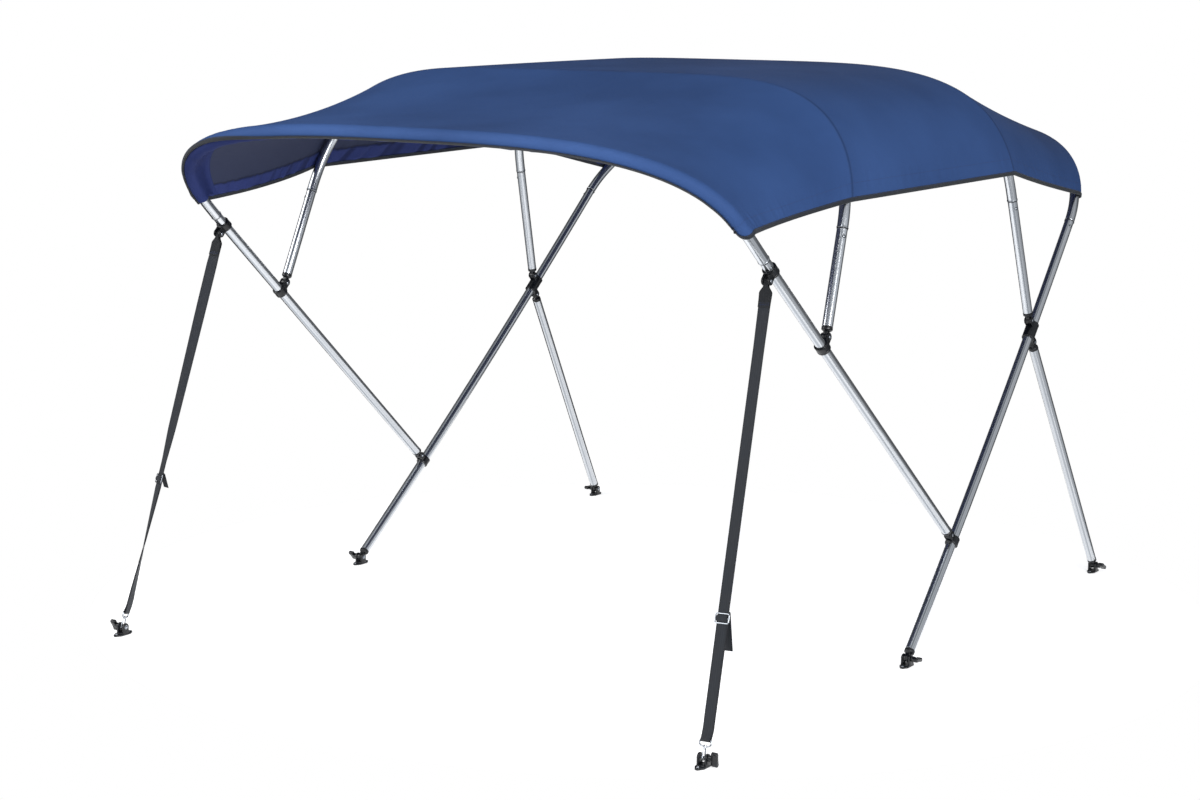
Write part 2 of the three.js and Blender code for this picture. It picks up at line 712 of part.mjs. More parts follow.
function addMainLeg(frame) {
  const foot = frame.point(mainFoot);
  const points = [];
  for (let k = 1; k < MAIN_LEG_STEPS; k += 1) {
    points.push(frame.point(mainLegAt(k / MAIN_LEG_STEPS)));
  }
  points.unshift(foot.clone().addScaledVector(points[0].clone().sub(foot).normalize(), EYE.reach));
  const top = frame.point(mainBow);
  const rise = vec(-frame.sign * SIDE_LEAN * LEG_HEADINGS.d.z, LEG_HEADINGS.d.y, LEG_HEADINGS.d.z).normalize();
  points.push(top.clone().addScaledVector(rise, -BOW_START_STEPS[1]), top.clone().addScaledVector(rise, -GAP));
  addPiece(`leg_d_${frame.side}`, roundTube(points, LEG_RADIUS, LEG_SIDES), 'tube');
}

// Jaw slider: a sleeve round the carrying tube with pairs of ears that hold a pin
function earPair(zCentre, offset) {
  const sign = Math.sign(offset);
  const pieces = [1, -1].map((hand) => {
    const shape = tongueShape(EAR.radius, EAR.half, EAR.foot - PIVOT_OFFSET, 0);
    return plateAlongX(shape, EAR.thick, hand * (EAR.gap + EAR.thick) / 2);
  });
  const outer = EAR.gap / 2 + EAR.thick;
  pieces.push(rodAlongX(PIN.radius, -outer - PIN.past, outer + PIN.past));
  [1, -1].forEach((hand) => {
    const near = hand * (outer - PIN.headSunk);
    const far = hand * (outer + PIN.headThick);
    pieces.push(rodAlongX(PIN.headRadius, Math.min(near, far), Math.max(near, far)));
  });
  pieces.forEach((piece) => {
    piece.rotateX(sign > 0 ? -Math.PI / 2 : Math.PI / 2);
    piece.translate(0, offset, zCentre);
  });
  return pieces;
}

function sliderSleeve(length) {
  const profile = [
    new THREE.Vector2(SLIDER.bore, -length / 2),
    new THREE.Vector2(SLIDER.outer, -length / 2),
    new THREE.Vector2(SLIDER.outer, length / 2),
    new THREE.Vector2(SLIDER.bore, length / 2),
    new THREE.Vector2(SLIDER.bore, -length / 2),
  ];
  const sleeve = new THREE.LatheGeometry(profile, LEG_SIDES);
  sleeve.rotateX(Math.PI / 2);
  return sleeve;
}

// Places a slider on its tube; every ear pair is given by its seat and pivot in the side plane
function addSlider(name, frame, host, pairs) {
  const seats = pairs.map(({ seat }) => frame.point(seat));
  const centre = seats.reduce((a, b) => a.clone().add(b)).multiplyScalar(1 / seats.length);
  const along = vec(0, host.y, host.z);
  along.x = -frame.sign * SIDE_LEAN * host.z;
  const group = placed(frame, centre, along);
  group.updateMatrixWorld(true);
  const toLocal = group.matrixWorld.clone().invert();
  const locals = pairs.map(({ seat, pivot }) => ({
    z: frame.point(seat).applyMatrix4(toLocal).z,
    offset: frame.point(pivot).applyMatrix4(toLocal).y,
  }));
  const reach = Math.max(...locals.map(({ z }) => Math.abs(z)));
  const shapes = [sliderSleeve(SLIDER.length + 2 * reach)];
  locals.forEach(({ z, offset }) => shapes.push(...earPair(z, offset)));
  addPiece(`slider_${name}_${frame.side}`, joined(shapes), 'nylon', group);
}

// Deck hinge: a base plate with pointed round ends and two lugs, its origin on the deck
function hingeGeometry() {
  const half = BASE.length / 2;
  const shape = new THREE.Shape();
  const flank = BASE.width / 2;
  const { shoulder, tip, tipStart } = BASE;
  shape.moveTo(flank, -shoulder);
  shape.lineTo(flank, shoulder);
  shape.absarc(0, half - tip, tip, tipStart, Math.PI - tipStart, false);
  shape.lineTo(-flank, shoulder);
  shape.lineTo(-flank, -shoulder);
  shape.absarc(0, tip - half, tip, Math.PI + tipStart, 2 * Math.PI - tipStart, false);
  [1, -1].forEach((hand) => {
    const hole = new THREE.Path();
    hole.absarc(0, hand * BASE.screwAt, BASE.screw, 0, 2 * Math.PI, false);
    shape.holes.push(hole);
  });
  const base = new THREE.ExtrudeGeometry(shape, { depth: BASE.thick, bevelEnabled: false, curveSegments: 4 });
  const lugs = [1, -1].map((hand) => {
    const lug = plateAlongX(
      tongueShape(LUG.radius, LUG.radius, LUG.foot - BOLT_HEIGHT, LUG.bore),
      LUG.thick,
      hand * (LUG.gap + LUG.thick) / 2,
    );
    lug.translate(0, 0, BOLT_HEIGHT);
    return lug;
  });
  return joined([base, ...lugs]);
}

// Thumb screw: shank, hub and waisted blade on the X axis, with the blade upright
function thumbScrewGeometry() {
  const profile = [
    new THREE.Vector2(0, SCREW.inner),
    new THREE.Vector2(SCREW.shank, SCREW.inner),
    new THREE.Vector2(SCREW.shank, SCREW.hubStart),
    new THREE.Vector2(SCREW.hubRadius, SCREW.hubStart),
    new THREE.Vector2(SCREW.hubRadius, SCREW.hubEnd),
    new THREE.Vector2(0, SCREW.hubEnd),
  ];
  const turned = new THREE.LatheGeometry(profile, ROUND_SIDES);
  turned.rotateZ(-Math.PI / 2);
  const outline = new THREE.Shape();
  outline.moveTo(BLADE.waist, 0);
  outline.lineTo(BLADE.end, BLADE.half - BLADE.end);
  outline.absarc(0, BLADE.half - BLADE.end, BLADE.end, 0, Math.PI, false);
  outline.lineTo(-BLADE.waist, 0);
  outline.lineTo(-BLADE.end, -BLADE.half + BLADE.end);
  outline.absarc(0, -BLADE.half + BLADE.end, BLADE.end, Math.PI, 2 * Math.PI, false);
  const thick = SCREW.bladeEnd - BLADE.start;
  return joined([turned, plateAlongX(outline, thick, BLADE.start + thick / 2, 3)]);
}

function addDeckHinge(name, frame, foot) {
  const up = vec(0, 0, 1);
  const group = placed(frame, vec(foot.x, foot.y, 0), up, vec(frame.sign, 0, 0));
  addPiece(`deck_hinge_${name}_${frame.side}`, hingeGeometry(), 'nylon', group);
  const turned = placed(frame, foot, up, vec(frame.sign, 0, 0));
  turned.rotateX(radians(THUMB_TURNS[name][frame.side]));
  addPiece(`thumb_screw_${name}_${frame.side}`, thumbScrewGeometry(), 'nylon', turned);
}

// Strap: a flat band on a path given by distance down from the upper pin, and height off its middle
function strapPath(length, buckleAt, tail, drift) {
  const barAt = length - HOOK.height;
  const front = -(BUCKLE.thick / 2 + WEB.thick / 2 + BUCKLE.play);
  const layer = WEB.thick + RUNNING_GAP;
  const back = front - layer;
  const { waist, bulge, ease } = WEB_LOOP;
  const waistAt = WEB.loop * waist;
  const pinReach = PIN.radius + RUNNING_GAP + WEB.thick / 2;
  const barReach = HOOK.bar + RUNNING_GAP + WEB.thick / 2;
  const bends = HALF_TURN.map(radians);
  const runs = [...RUN_SHARES.map((share) => THREE.MathUtils.lerp(buckleAt, barAt, share)), barAt - HOOK_BEND_ABOVE];
  const path = [
    { at: WEB.loop, off: front + layer },
    { at: waistAt, off: front + layer + bulge },
    { at: WEB.pinchEnd, off: pinReach - ease },
    ...bends.map((turn) => ({ at: -pinReach * Math.sin(turn), off: pinReach * Math.cos(turn) })),
    { at: WEB.pinchEnd, off: ease - pinReach },
    { at: waistAt, off: front - bulge },
    { at: WEB.loop, off: front },
  ];
  const weaveTop = buckleAt + WEAVE[0].below;
  for (let k = 1; k < UPPER_RUN_STEPS; k += 1) {
    path.push({ at: THREE.MathUtils.lerp(WEB.loop, weaveTop, k / UPPER_RUN_STEPS), off: front });
  }
  path.push(...WEAVE.map(({ below, side }) => ({ at: buckleAt + below, off: side * front })));
  path.push(...runs.map((at) => ({ at, off: front })));
  path.push(...bends.map((turn) => ({ at: barAt + barReach * Math.sin(turn), off: barReach * Math.cos(turn) })));
  path.push(...runs.reverse().map((at) => ({ at, off: back })));
  path.push(...RETURN.map(({ below, drop }) => ({ at: buckleAt + below, off: back - drop })));
  const last = path[path.length - 1];
  path.push(...TAIL_SHARES.map((share) => ({ at: last.at + tail * share, off: last.off - drift * share })));
  return path;
}

function turnAt(turns, share) {
  let k = 1;
  while (k < turns.length - 1 && turns[k].at < share) {
    k += 1;
  }
  const within = THREE.MathUtils.clamp((share - turns[k - 1].at) / (turns[k].at - turns[k - 1].at), 0, 1);
  return radians(THREE.MathUtils.lerp(turns[k - 1].turn, turns[k].turn, within));
}

function webHalfWidth(at, length) {
  const flare = THREE.MathUtils.clamp((at - WEB.pinchEnd) / (WEB.flareEnd - WEB.pinchEnd), 0, 1);
  const taper = THREE.MathUtils.clamp((at - length + HOOK.height) / WEB.hookTaper + 1, 0, 1);
  return (THREE.MathUtils.lerp(WEB.pinch, WEB.width, flare) - (WEB.width - WEB.hookWidth) * taper) / 2;
}

// Band along the path: the two side edges by column, the two faces by depth
function strapGeometry(path, length, turns) {
  const rising = (row) => path[row + 1].at < path[row].at;
  return sheetGeometry(path.length, 2, (i, j, outer) => {
    const before = path[Math.max(i - 1, 0)];
    const here = path[i];
    const after = path[Math.min(i + 1, path.length - 1)];
    const inLength = Math.hypot(here.at - before.at, here.off - before.off) || 1;
    const outLength = Math.hypot(after.at - here.at, after.off - here.off) || 1;
    const along = {
      at: (here.at - before.at) / inLength + (after.at - here.at) / outLength,
      off: (here.off - before.off) / inLength + (after.off - here.off) / outLength,
    };
    const size = Math.hypot(along.at, along.off);
    const inner = i === 0 || i === path.length - 1 ? 1 : Math.max(size / 2, 0.7);
    const depth = ((outer ? 1 : -1) * WEB.thick) / 2 / inner;
    const at = here.at - (along.off / size) * depth;
    const off = here.off + (along.at / size) * depth;
    const side = (j === 0 ? -1 : 1) * webHalfWidth(here.at, length);
    const turn = turnAt(turns, here.at / length);
    return vec(
      side * Math.cos(turn) - off * Math.sin(turn),
      side * Math.sin(turn) + off * Math.cos(turn),
      length - at,
    );
  }, rising);
}

// Tri-glide buckle in the X-Z plane, centred on the origin
function buckleGeometry() {
  const plate = new THREE.BoxGeometry(BUCKLE.width, BUCKLE.thick, BUCKLE.height);
  const slots = [1, -1].map((hand) => {
    const slot = new THREE.BoxGeometry(BUCKLE.slotWidth, 2 * BUCKLE.thick, BUCKLE.slot);
    slot.translate(0, 0, (hand * (BUCKLE.bar + BUCKLE.slot)) / 2);
    return slot;
  });
  return toGeometry(slots.map(toSolid).reduce((solid, slot) => solid.subtract(slot), toSolid(plate)));
}

// Wire snap hook: a long ring round the hinge bolt and a flat loop for the strap, turned with it
function hookGeometry(loopTurn) {
  const ringTop = HOOK.height - HOOK.loopHeight;
  const lowest = -(PIN.radius + 2 * RUNNING_GAP + HOOK.wire);
  const half = HOOK.ringWidth / 2 - HOOK.wire;
  const ring = [];
  for (let k = 0; k <= 4; k += 1) {
    const angle = Math.PI + (Math.PI * k) / 4;
    ring.push(vec(0, half * Math.cos(angle), lowest + half + half * Math.sin(angle)));
  }
  ring.push(...RING_SHOULDERS.map(({ out, up }) => vec(0, half * out, ringTop * up)));
  const neck = new THREE.CylinderGeometry(HOOK_NECK.radius, HOOK_NECK.radius, HOOK_NECK.length, HOOK_NECK.sides);
  neck.rotateX(Math.PI / 2);
  neck.translate(0, 0, ringTop + HOOK_NECK.up);
  const wide = HOOK.loopWidth / 2 - HOOK.bar;
  const { height, corner, rise } = HOOK;
  const loop = [
    vec(corner - wide, 0, ringTop),
    vec(wide - corner, 0, ringTop),
    vec(wide, 0, ringTop + rise),
    vec(wide, 0, height - 1),
    vec(wide - 1, 0, height),
    vec(1 - wide, 0, height),
    vec(-wide, 0, height - 1),
    vec(-wide, 0, ringTop + rise),
  ];
  const flatLoop = roundRing(loop, HOOK.bar);
  flatLoop.rotateZ(loopTurn);
  return joined([roundRing(ring, HOOK.wire), flatLoop, neck]);
}

// A closed ring of round wire through given points
function roundRing(points, radius) {
  const sides = 6;
  const ring = new THREE.TorusGeometry(2, 1, sides, points.length);
  const position = ring.attributes.position;
  const middle = points.reduce((a, b) => a.clone().add(b)).multiplyScalar(1 / points.length);
  const across = new THREE.Vector3().crossVectors(
    points[0].clone().sub(middle),
    points[1].clone().sub(middle),
  ).normalize();
  const count = points.length;
  for (let k = 0; k < position.count; k += 1) {
    const angle = (2 * Math.PI * (Math.floor(k / (count + 1)) % sides)) / sides;
    const index = (k % (count + 1)) % count;
    const here = points[index];
    const before = here.clone().sub(points[(index + count - 1) % count]).normalize();
    const after = points[(index + 1) % count].clone().sub(here).normalize();
    const along = before.clone().add(after).normalize();
    const outward = new THREE.Vector3().crossVectors(along, across).normalize();
    const stretch = 1 / Math.max(Math.sqrt((1 + before.dot(after)) / 2), 0.7);
    const point = here.clone()
      .addScaledVector(outward, radius * Math.cos(angle) * stretch)
      .addScaledVector(across, radius * Math.sin(angle));
    position.setXYZ(k, point.x, point.y, point.z);
  }
  ring.computeVertexNormals();
  return ring;
}

function addStrap(frame, pin, bolt) {
  const setting = STRAP_SIDES[frame.side];
  const top = frame.point(pin);
  const length = top.distanceTo(bolt);
  const group = placed(frame, bolt, top.clone().sub(bolt));
  const path = strapPath(length, setting.buckleAt, setting.tail, setting.drift);
  const strap = strapGeometry(path, length, setting.turns);
  addPiece(`strap_${frame.side}`, strap, 'webbing', group);
  const buckle = new THREE.Group();
  buckle.position.z = length - setting.buckleAt;
  buckle.rotation.z = turnAt(setting.turns, setting.buckleAt / length);
  group.add(buckle);
  addPiece(`buckle_${frame.side}`, buckleGeometry(), 'steel', buckle);
  addPiece(`snap_hook_${frame.side}`, hookGeometry(turnAt(setting.turns, 1)), 'steel', group);
}

// One side frame with all its fittings
function addSide(side) {
  const frame = sideFrame(side);
  const [bowA, bowB, bowC] = BOWS;
  const hostA = LEG_HEADINGS.a;
  const hostC = mainHeadingAt((LEG_C_ON_MAIN_Y + BRACE_E_ON_MAIN_Y) / 2);
  const atA = pivotBeside(legAStart, hostA, mainHeadingAt(LEG_A_ON_MAIN_Y));
  const atB = pivotBeside(legBStart, LEG_HEADINGS.b, hostA);
  const atC = pivotBeside(legCStart, LEG_HEADINGS.c, hostC);
  const rearFoot = { y: REAR_FOOT_Y, z: BOLT_HEIGHT };
  const atE = pivotBeside(braceTop, heading(braceTop, rearFoot), hostC);
  const strapFoot = { y: STRAP_FOOT_Y, z: BOLT_HEIGHT };
  const atStrap = pivotBeside(strapCrossing, heading(strapCrossing, strapFoot), hostA);

  addStraightLeg('leg_a', frame, atA.pivot, bowA, EYE.reach, GAP);
  addStraightLeg('leg_b', frame, atB.pivot, bowB, EYE.reach, GAP);
  addStraightLeg('leg_c', frame, atC.pivot, bowC, EYE.reach, GAP);
  addStraightLeg('brace_e', frame, rearFoot, atE.pivot, EYE.reach, EYE.reach);
  addMainLeg(frame);

  addEyeEnd('a', frame, atA.pivot, bowA);
  addEyeEnd('b', frame, atB.pivot, bowB);
  addEyeEnd('c', frame, atC.pivot, bowC);
  addEyeEnd('e_top', frame, atE.pivot, rearFoot);
  addEyeEnd('e_foot', frame, rearFoot, atE.pivot);
  addEyeEnd('d', frame, mainFoot, mainLegAt(1 / MAIN_LEG_STEPS));

  addSlider('a', frame, mainHeadingAt(LEG_A_ON_MAIN_Y), [atA]);
  addSlider('b', frame, hostA, [atB]);
  addSlider('c_e', frame, hostC, [atC, atE]);
  addSlider('strap', frame, hostA, [atStrap]);

  const strapBolt = frame.point(strapFoot).add(vec(-frame.sign * STRAP_FOOT_INSET, 0, 0));
  addDeckHinge('main', frame, frame.point(mainFoot));
  addDeckHinge('rear', frame, frame.point(rearFoot));
  addDeckHinge('strap', frame, strapBolt);
  addStrap(frame, atStrap.pivot, strapBolt);
}

['right', 'left'].forEach(addSide);

export default part;
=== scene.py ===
"""Bimini top: a stretched canopy on a folding frame of four bows, with straps and deck hinges.

Sizes are millimetres in the part's own frame: X runs across, the strap end faces -Y and Z is up.
They become metres where a mesh is made.
"""
import logging
import math
from dataclasses import dataclass, field
from enum import Enum

import bmesh
import bpy
import numpy as np
from mathutils import Matrix, Vector


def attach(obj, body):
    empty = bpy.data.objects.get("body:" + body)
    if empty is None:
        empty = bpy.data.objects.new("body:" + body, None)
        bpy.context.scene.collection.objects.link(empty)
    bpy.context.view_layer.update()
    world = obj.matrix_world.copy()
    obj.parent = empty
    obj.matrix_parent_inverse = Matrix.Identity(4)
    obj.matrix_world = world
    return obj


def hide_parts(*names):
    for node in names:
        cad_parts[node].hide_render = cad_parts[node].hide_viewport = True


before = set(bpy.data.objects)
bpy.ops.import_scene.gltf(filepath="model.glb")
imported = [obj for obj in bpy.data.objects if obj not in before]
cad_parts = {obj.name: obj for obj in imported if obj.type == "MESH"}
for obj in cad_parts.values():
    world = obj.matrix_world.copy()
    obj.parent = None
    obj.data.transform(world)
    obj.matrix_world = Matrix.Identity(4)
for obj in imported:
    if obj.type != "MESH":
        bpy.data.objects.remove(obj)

Array = np.ndarray
Socket = bpy.types.NodeSocket
Pairs = tuple[tuple[float, float], ...]
Triple = tuple[float, float, float]
log = logging.getLogger("bimini_top")

MM = 0.001
SEED = 20
TINY = 1e-12
MERGE_DISTANCE = 2e-6
WAVE_VALUES = 4096
WAVE_START = 50
MOSTLY_X = 0.8
STITCH_SHARES = np.array([0.0, 0.2, 0.8, 1.0])
STITCH_HEIGHTS = np.array([-0.3, 1.0, 1.0, -0.3])
NOISE_LOW, NOISE_HIGH = 0.3, 0.7
BAND_SCALE = 2 * math.pi / 20
MAIN_BODY = "frame_and_canopy"
X_AXIS, Y_AXIS, Z_AXIS = np.eye(3)


class Slot(Enum):
    """The record's material slots."""

    CLOTH = "cloth"
    BINDING = "binding"
    SLEEVE = "sleeve"
    TUBE = "tube"
    NYLON = "nylon"
    WEBBING = "webbing"
    STEEL = "steel"


class Side(Enum):
    """The two side frames, by the sign of their X."""

    RIGHT = 1
    LEFT = -1

    @property
    def word(self) -> str:
        """The side's name as the nodes spell it."""
        return self.name.lower()


# ---------------------------------------------------------------- arrays and lines


def unit(vectors: Array) -> Array:
    """Vectors scaled to length one along their last axis."""
    return vectors / np.maximum(np.linalg.norm(vectors, axis=-1, keepdims=True), TINY)


def square_to(vectors: Array, axis: Array) -> Array:
    """Vectors without their share along a unit axis, scaled to length one."""
    return unit(vectors - np.sum(vectors * axis, axis=-1, keepdims=True) * axis)


def ease(t: Array) -> Array:
    """Cubic ease of shares from 0 to 1: t * t * (3 - 2 t)."""
    return t * t * (3 - 2 * t)


def smooth_step(values: Array, low: float, high: float) -> Array:
    """Cubic step from 0 at low to 1 at high."""
    return ease(np.clip((values - low) / (high - low), 0, 1))


def runs(points: Array) -> Array:
    """Distance of each point from the first, along their line."""
    steps = np.linalg.norm(np.diff(points, axis=0), axis=1)
    return np.concatenate([[0], np.cumsum(steps)])


def read(at: Array, places: Array, rows: Array) -> Array:
    """Rows of three that are given at places, read between them at others."""
    return np.stack([np.interp(at, places, rows[:, k]) for k in range(3)], -1)


def joined(*parts: Array) -> Array:
    """Arrays spread to one shape and put side by side in a new last axis."""
    return np.stack(np.broadcast_arrays(*parts), -1)


def circle(angle: Array) -> Array:
    """Points (cos t, sin t)."""
    return np.stack([np.cos(angle), np.sin(angle)], -1)


def spokes(angle: Array, a: Array, b: Array) -> Array:
    """Directions cos t a + sin t b, for each a and b and each angle t."""
    return np.cos(angle)[:, None] * a[:, None] + np.sin(angle)[:, None] * b[:, None]


def headings(loop: Array, reach: int = 1) -> Array:
    """Unit directions along a closed loop, from the points reach before and after each."""
    return unit(np.roll(loop, -reach, 0) - np.roll(loop, reach, 0))


def border(grid: Array) -> Array:
    """Border of a grid, once round."""
    return np.concatenate([grid[0, :-1], grid[:-1, -1], grid[-1, :0:-1], grid[:0:-1, 0]])


def anticlockwise(outline: Array) -> Array:
    """A closed outline, turned round where its area comes out negative."""
    following = np.roll(outline, -1, 0)
    area = np.sum(outline[:, 0] * following[:, 1] - following[:, 0] * outline[:, 1])
    return outline if area > 0 else outline[::-1]


def smooth_line(points: Array, count: int, closed: bool = False) -> Array:
    """Line through given points by the Catmull-Rom cubic of each four in a row.

    Args:
        points: control points, one row each.
        count: number of points wanted.
        closed: whether the line returns to its start.

    Returns:
        The points of the line; a closed one doesn't repeat its first point.
    """
    total = len(points)
    if closed:
        padded = np.concatenate([points[-1:], points, points[:2]])
        place = np.linspace(0, total, count, endpoint=False)
    else:
        first, last = 2 * points[0] - points[1], 2 * points[-1] - points[-2]
        padded = np.concatenate([first[None], points, last[None]])
        place = np.linspace(0, total - 1, count)
    index = np.minimum(place.astype(int), len(padded) - 4)
    t = (place - index)[(...,) + (None,) * (points.ndim - 1)]
    a, b, c, d = (padded[index + k] for k in range(4))
    return 0.5 * (2 * b + (c - a) * t + (2 * a - 5 * b + 4 * c - d) * t ** 2
                  + (3 * b - a - 3 * c + d) * t ** 3)


def ripple(distance: Array, pitch: float, seed: int) -> Array:
    """Smooth random wave from -1 to 1: seeded values one pitch apart, joined by cubic steps."""
    values = np.random.default_rng(seed).uniform(-1, 1, WAVE_VALUES)
    place = distance / pitch + WAVE_START
    index = np.floor(place).astype(int)
    t = ease(place - index)
    return values[index % WAVE_VALUES] * (1 - t) + values[(index + 1) % WAVE_VALUES] * t


def tongue(radius: float, half_width: float, foot: float, points: int = 26) -> Array:
    """Outline with one round end at the origin and a square foot, anticlockwise as y and z.

    Args:
        radius: radius of the round end.
        half_width: half the width of the foot.
        foot: height of the foot; below zero the foot points down.
        points: points on the arc.

    Returns:
        The outline.
    """
    start = math.atan2(math.sqrt(max(radius ** 2 - half_width ** 2, 0.0)), half_width)
    arc = radius * circle(np.linspace(start, -np.pi - start, points))
    corner = np.array([half_width, abs(foot)])
    sides = np.linspace(0, 1, 5)[1:, None]
    left = arc[-1] * (1 - sides) + corner * [-1, 1] * sides
    right = corner * (1 - sides) + arc[0] * sides
    outline = np.concatenate([arc, left, corner[None], right[:-1]])
    return anticlockwise(outline * [1, math.copysign(1, foot)])


class Track:
    """A line in space that is read by the distance along it."""

    def __init__(self, points: Array) -> None:
        """Measures the line through the given points."""
        self.points = np.asarray(points, float)
        self.lengths = runs(self.points)
        self.tangents = unit(np.gradient(self.points, self.lengths, axis=0))

    @property
    def length(self) -> float:
        """The whole length."""
        return float(self.lengths[-1])

    def at(self, distance: Array) -> tuple[Array, Array]:
        """Points and unit tangents at distances, going straight on beyond both ends.

        Args:
            distance: distances along the line.

        Returns:
            The points and the tangents.
        """
        inside = np.clip(distance, 0, self.length)
        along = unit(read(inside, self.lengths, self.tangents))
        beyond = along * (distance - inside)[..., None]
        return read(inside, self.lengths, self.points) + beyond, along


@dataclass
class Placement:
    """A local frame: X outward from the side frame, Z along a direction, Y square to both."""

    origin: Array
    along: Array
    outward: Array
    turn: float = 0.0

    def axes(self) -> Array:
        """The three unit axes, one row each, after the turn about local X."""
        z = unit(self.along)
        x = square_to(self.outward, z)
        y = np.cross(z, x)
        c, s = math.cos(self.turn), math.sin(self.turn)
        return np.stack([x, c * y + s * z, c * z - s * y])

    def put(self, points: Array) -> Array:
        """Local points in the part's frame: origin + x X + y Y + z Z."""
        return self.origin + points @ self.axes()

    def local(self, points: Array) -> Array:
        """Points of the part's frame seen from here."""
        return (points - self.origin) @ self.axes().T


# ---------------------------------------------------------------- meshes


def in_scene(name: str, data: bpy.types.ID) -> bpy.types.Object:
    """A new object with the given data, linked into the scene."""
    thing = bpy.data.objects.new(name, data)
    bpy.context.scene.collection.objects.link(thing)
    return thing


class Shape:
    """Vertices, faces, map and marks of one piece, gathered patch by patch."""

    def __init__(self) -> None:
        """Starts empty."""
        self.points: list[Array] = []
        self.uv: list[Array] = []
        self.marks: list[Array] = []
        self.faces: list[list[int]] = []
        self.count = 0

    def take(self, points: Array, uv: Array | None = None, marks: Array | None = None) -> Array:
        """Adds vertices; their map and marks are zero where none are given.

        Args:
            points: the vertices, in an array of any number of rows and columns.
            uv: their map.
            marks: their colour attribute.

        Returns:
            The index of each vertex, in the same rows and columns.
        """
        count = math.prod(points.shape[:-1])
        index = self.count + np.arange(count).reshape(points.shape[:-1])
        self.points.append(points.reshape(-1, 3))
        self.uv.append(np.zeros((count, 2)) if uv is None else uv.reshape(-1, 2))
        self.marks.append(np.zeros((count, 3)) if marks is None else marks.reshape(-1, 3))
        self.count += count
        return index

    def quads(self, index: Array) -> None:
        """Adds one face between each two rows and two columns of vertices."""
        corners = [index[..., :-1, :-1], index[..., :-1, 1:], index[..., 1:, 1:],
                   index[..., 1:, :-1]]
        self.faces.extend(np.stack(corners, -1).reshape(-1, 4).tolist())

    def ends(self, index: Array) -> None:
        """Closes the first and the last row of vertices with one face each."""
        self.faces += [index[0].tolist(), index[-1].tolist()]

    def grid(self, points: Array, wrap_rows: bool = False, wrap_columns: bool = False,
             uv: Array | None = None, marks: Array | None = None) -> Array:
        """Adds a grid of quads.

        Args:
            points: rows x columns x 3.
            wrap_rows: whether the last row joins the first.
            wrap_columns: whether the last column joins the first.
            uv: map in millimetres, rows x columns x 2.
            marks: colour attribute, rows x columns x 3.

        Returns:
            The vertex index of each grid point.
        """
        index = self.take(points, uv, marks)
        across = np.concatenate([index, index[:, :1]], 1) if wrap_columns else index
        self.quads(np.concatenate([across, across[:1]], 0) if wrap_rows else across)
        return index

    def shell(self, outer: Array, inner: Array, uv: Array, outer_marks: Array,
              inner_marks: Array) -> None:
        """Closed sheet: two grids a thickness apart, joined all round their borders.

        Args:
            outer: points of the outer face.
            inner: points of the inner face.
            uv: map of both.
            outer_marks: colour attribute of the outer face.
            inner_marks: colour attribute of the inner face.
        """
        first = border(self.grid(outer, uv=uv, marks=outer_marks))
        second = border(self.grid(inner, uv=uv, marks=inner_marks))
        edge = np.stack([first, np.roll(first, -1), np.roll(second, -1), second], -1)
        self.faces.extend(edge.tolist())

    def turned(self, track: Track, profile: Array, reference: Array, sides: int = 28,
               closed: bool = False) -> None:
        """Round piece on a line: p(s) + r (cos t a + sin t b) for each (s, r) of the profile.

        Args:
            track: the line it is turned on.
            profile: distance along and radius, one row each; radius 0 closes an end.
            reference: any direction across the line, from which a is made square to it.
            sides: points around.
            closed: whether the profile is a closed loop, as in a ring.
        """
        profile = np.asarray(profile, float)
        centre, along = track.at(profile[:, 0])
        a = square_to(np.broadcast_to(reference, along.shape), along)
        angle = 2 * np.pi * np.arange(sides + 1) / sides
        rays = spokes(angle, a, np.cross(along, a))
        rays[:, -1] = rays[:, 0]
        uv = joined(angle * float(profile[:, 1].max()), profile[:, :1])
        self.grid(centre[:, None] + profile[:, 1, None, None] * rays, wrap_rows=closed, uv=uv)

    def rod(self, start: Array, end: Array, profile: Array, sides: int = 28,
            closed: bool = False) -> None:
        """Round piece on the straight line from start towards end.

        Args:
            start: where distances along are counted from.
            end: a point the line goes towards.
            profile: distance along and radius, one row each.
            sides: points around.
            closed: whether the profile is a closed loop.
        """
        run = Track(np.stack([start, end]))
        reference = X_AXIS if abs(run.tangents[0, 0]) < MOSTLY_X else Z_AXIS
        self.turned(run, profile, reference, sides, closed)

    def loop_wire(self, points: Array, radius: float, across: Array, sides: int = 14) -> None:
        """Closed round wire: each point + radius (cos t n + sin t m), n in the loop's plane.

        Args:
            points: the wire's middle, once round.
            radius: radius of the wire.
            across: direction square to the loop's plane.
            sides: points around the wire.
        """
        along = headings(points)
        m = square_to(np.broadcast_to(across, along.shape), along)
        ring = spokes(2 * np.pi * np.arange(sides) / sides, np.cross(along, m), m)
        self.grid(points[:, None] + radius * ring, wrap_rows=True, wrap_columns=True)

    def plate(self, outline: Array, thick: float, edge: float, place: Placement,
              shift: Array) -> None:
        """Flat plate with round edges: outline moved in by edge (1 - cos t), raised by edge sin t.

        Args:
            outline: y and z of the closed outline, anticlockwise.
            thick: thickness along local X.
            edge: radius of the rounded edges.
            place: local frame.
            shift: where the plate's middle is in that frame.
        """
        along = headings(outline)
        inward = np.stack([-along[:, 1], along[:, 0]], -1)
        angle = np.radians([90, 60, 30, 0])
        inset = edge * (1 - np.cos(angle))
        depth = thick / 2 - edge + edge * np.sin(angle)
        inset = np.concatenate([inset, inset[::-1]])
        depth = np.concatenate([-depth, depth[::-1]])
        flat = outline[None] + inset[:, None, None] * inward[None]
        height = np.broadcast_to(depth[:, None, None], flat.shape[:2] + (1,))
        solid = place.put(np.concatenate([height, flat], -1) + shift)
        self.ends(self.grid(solid, wrap_columns=True))

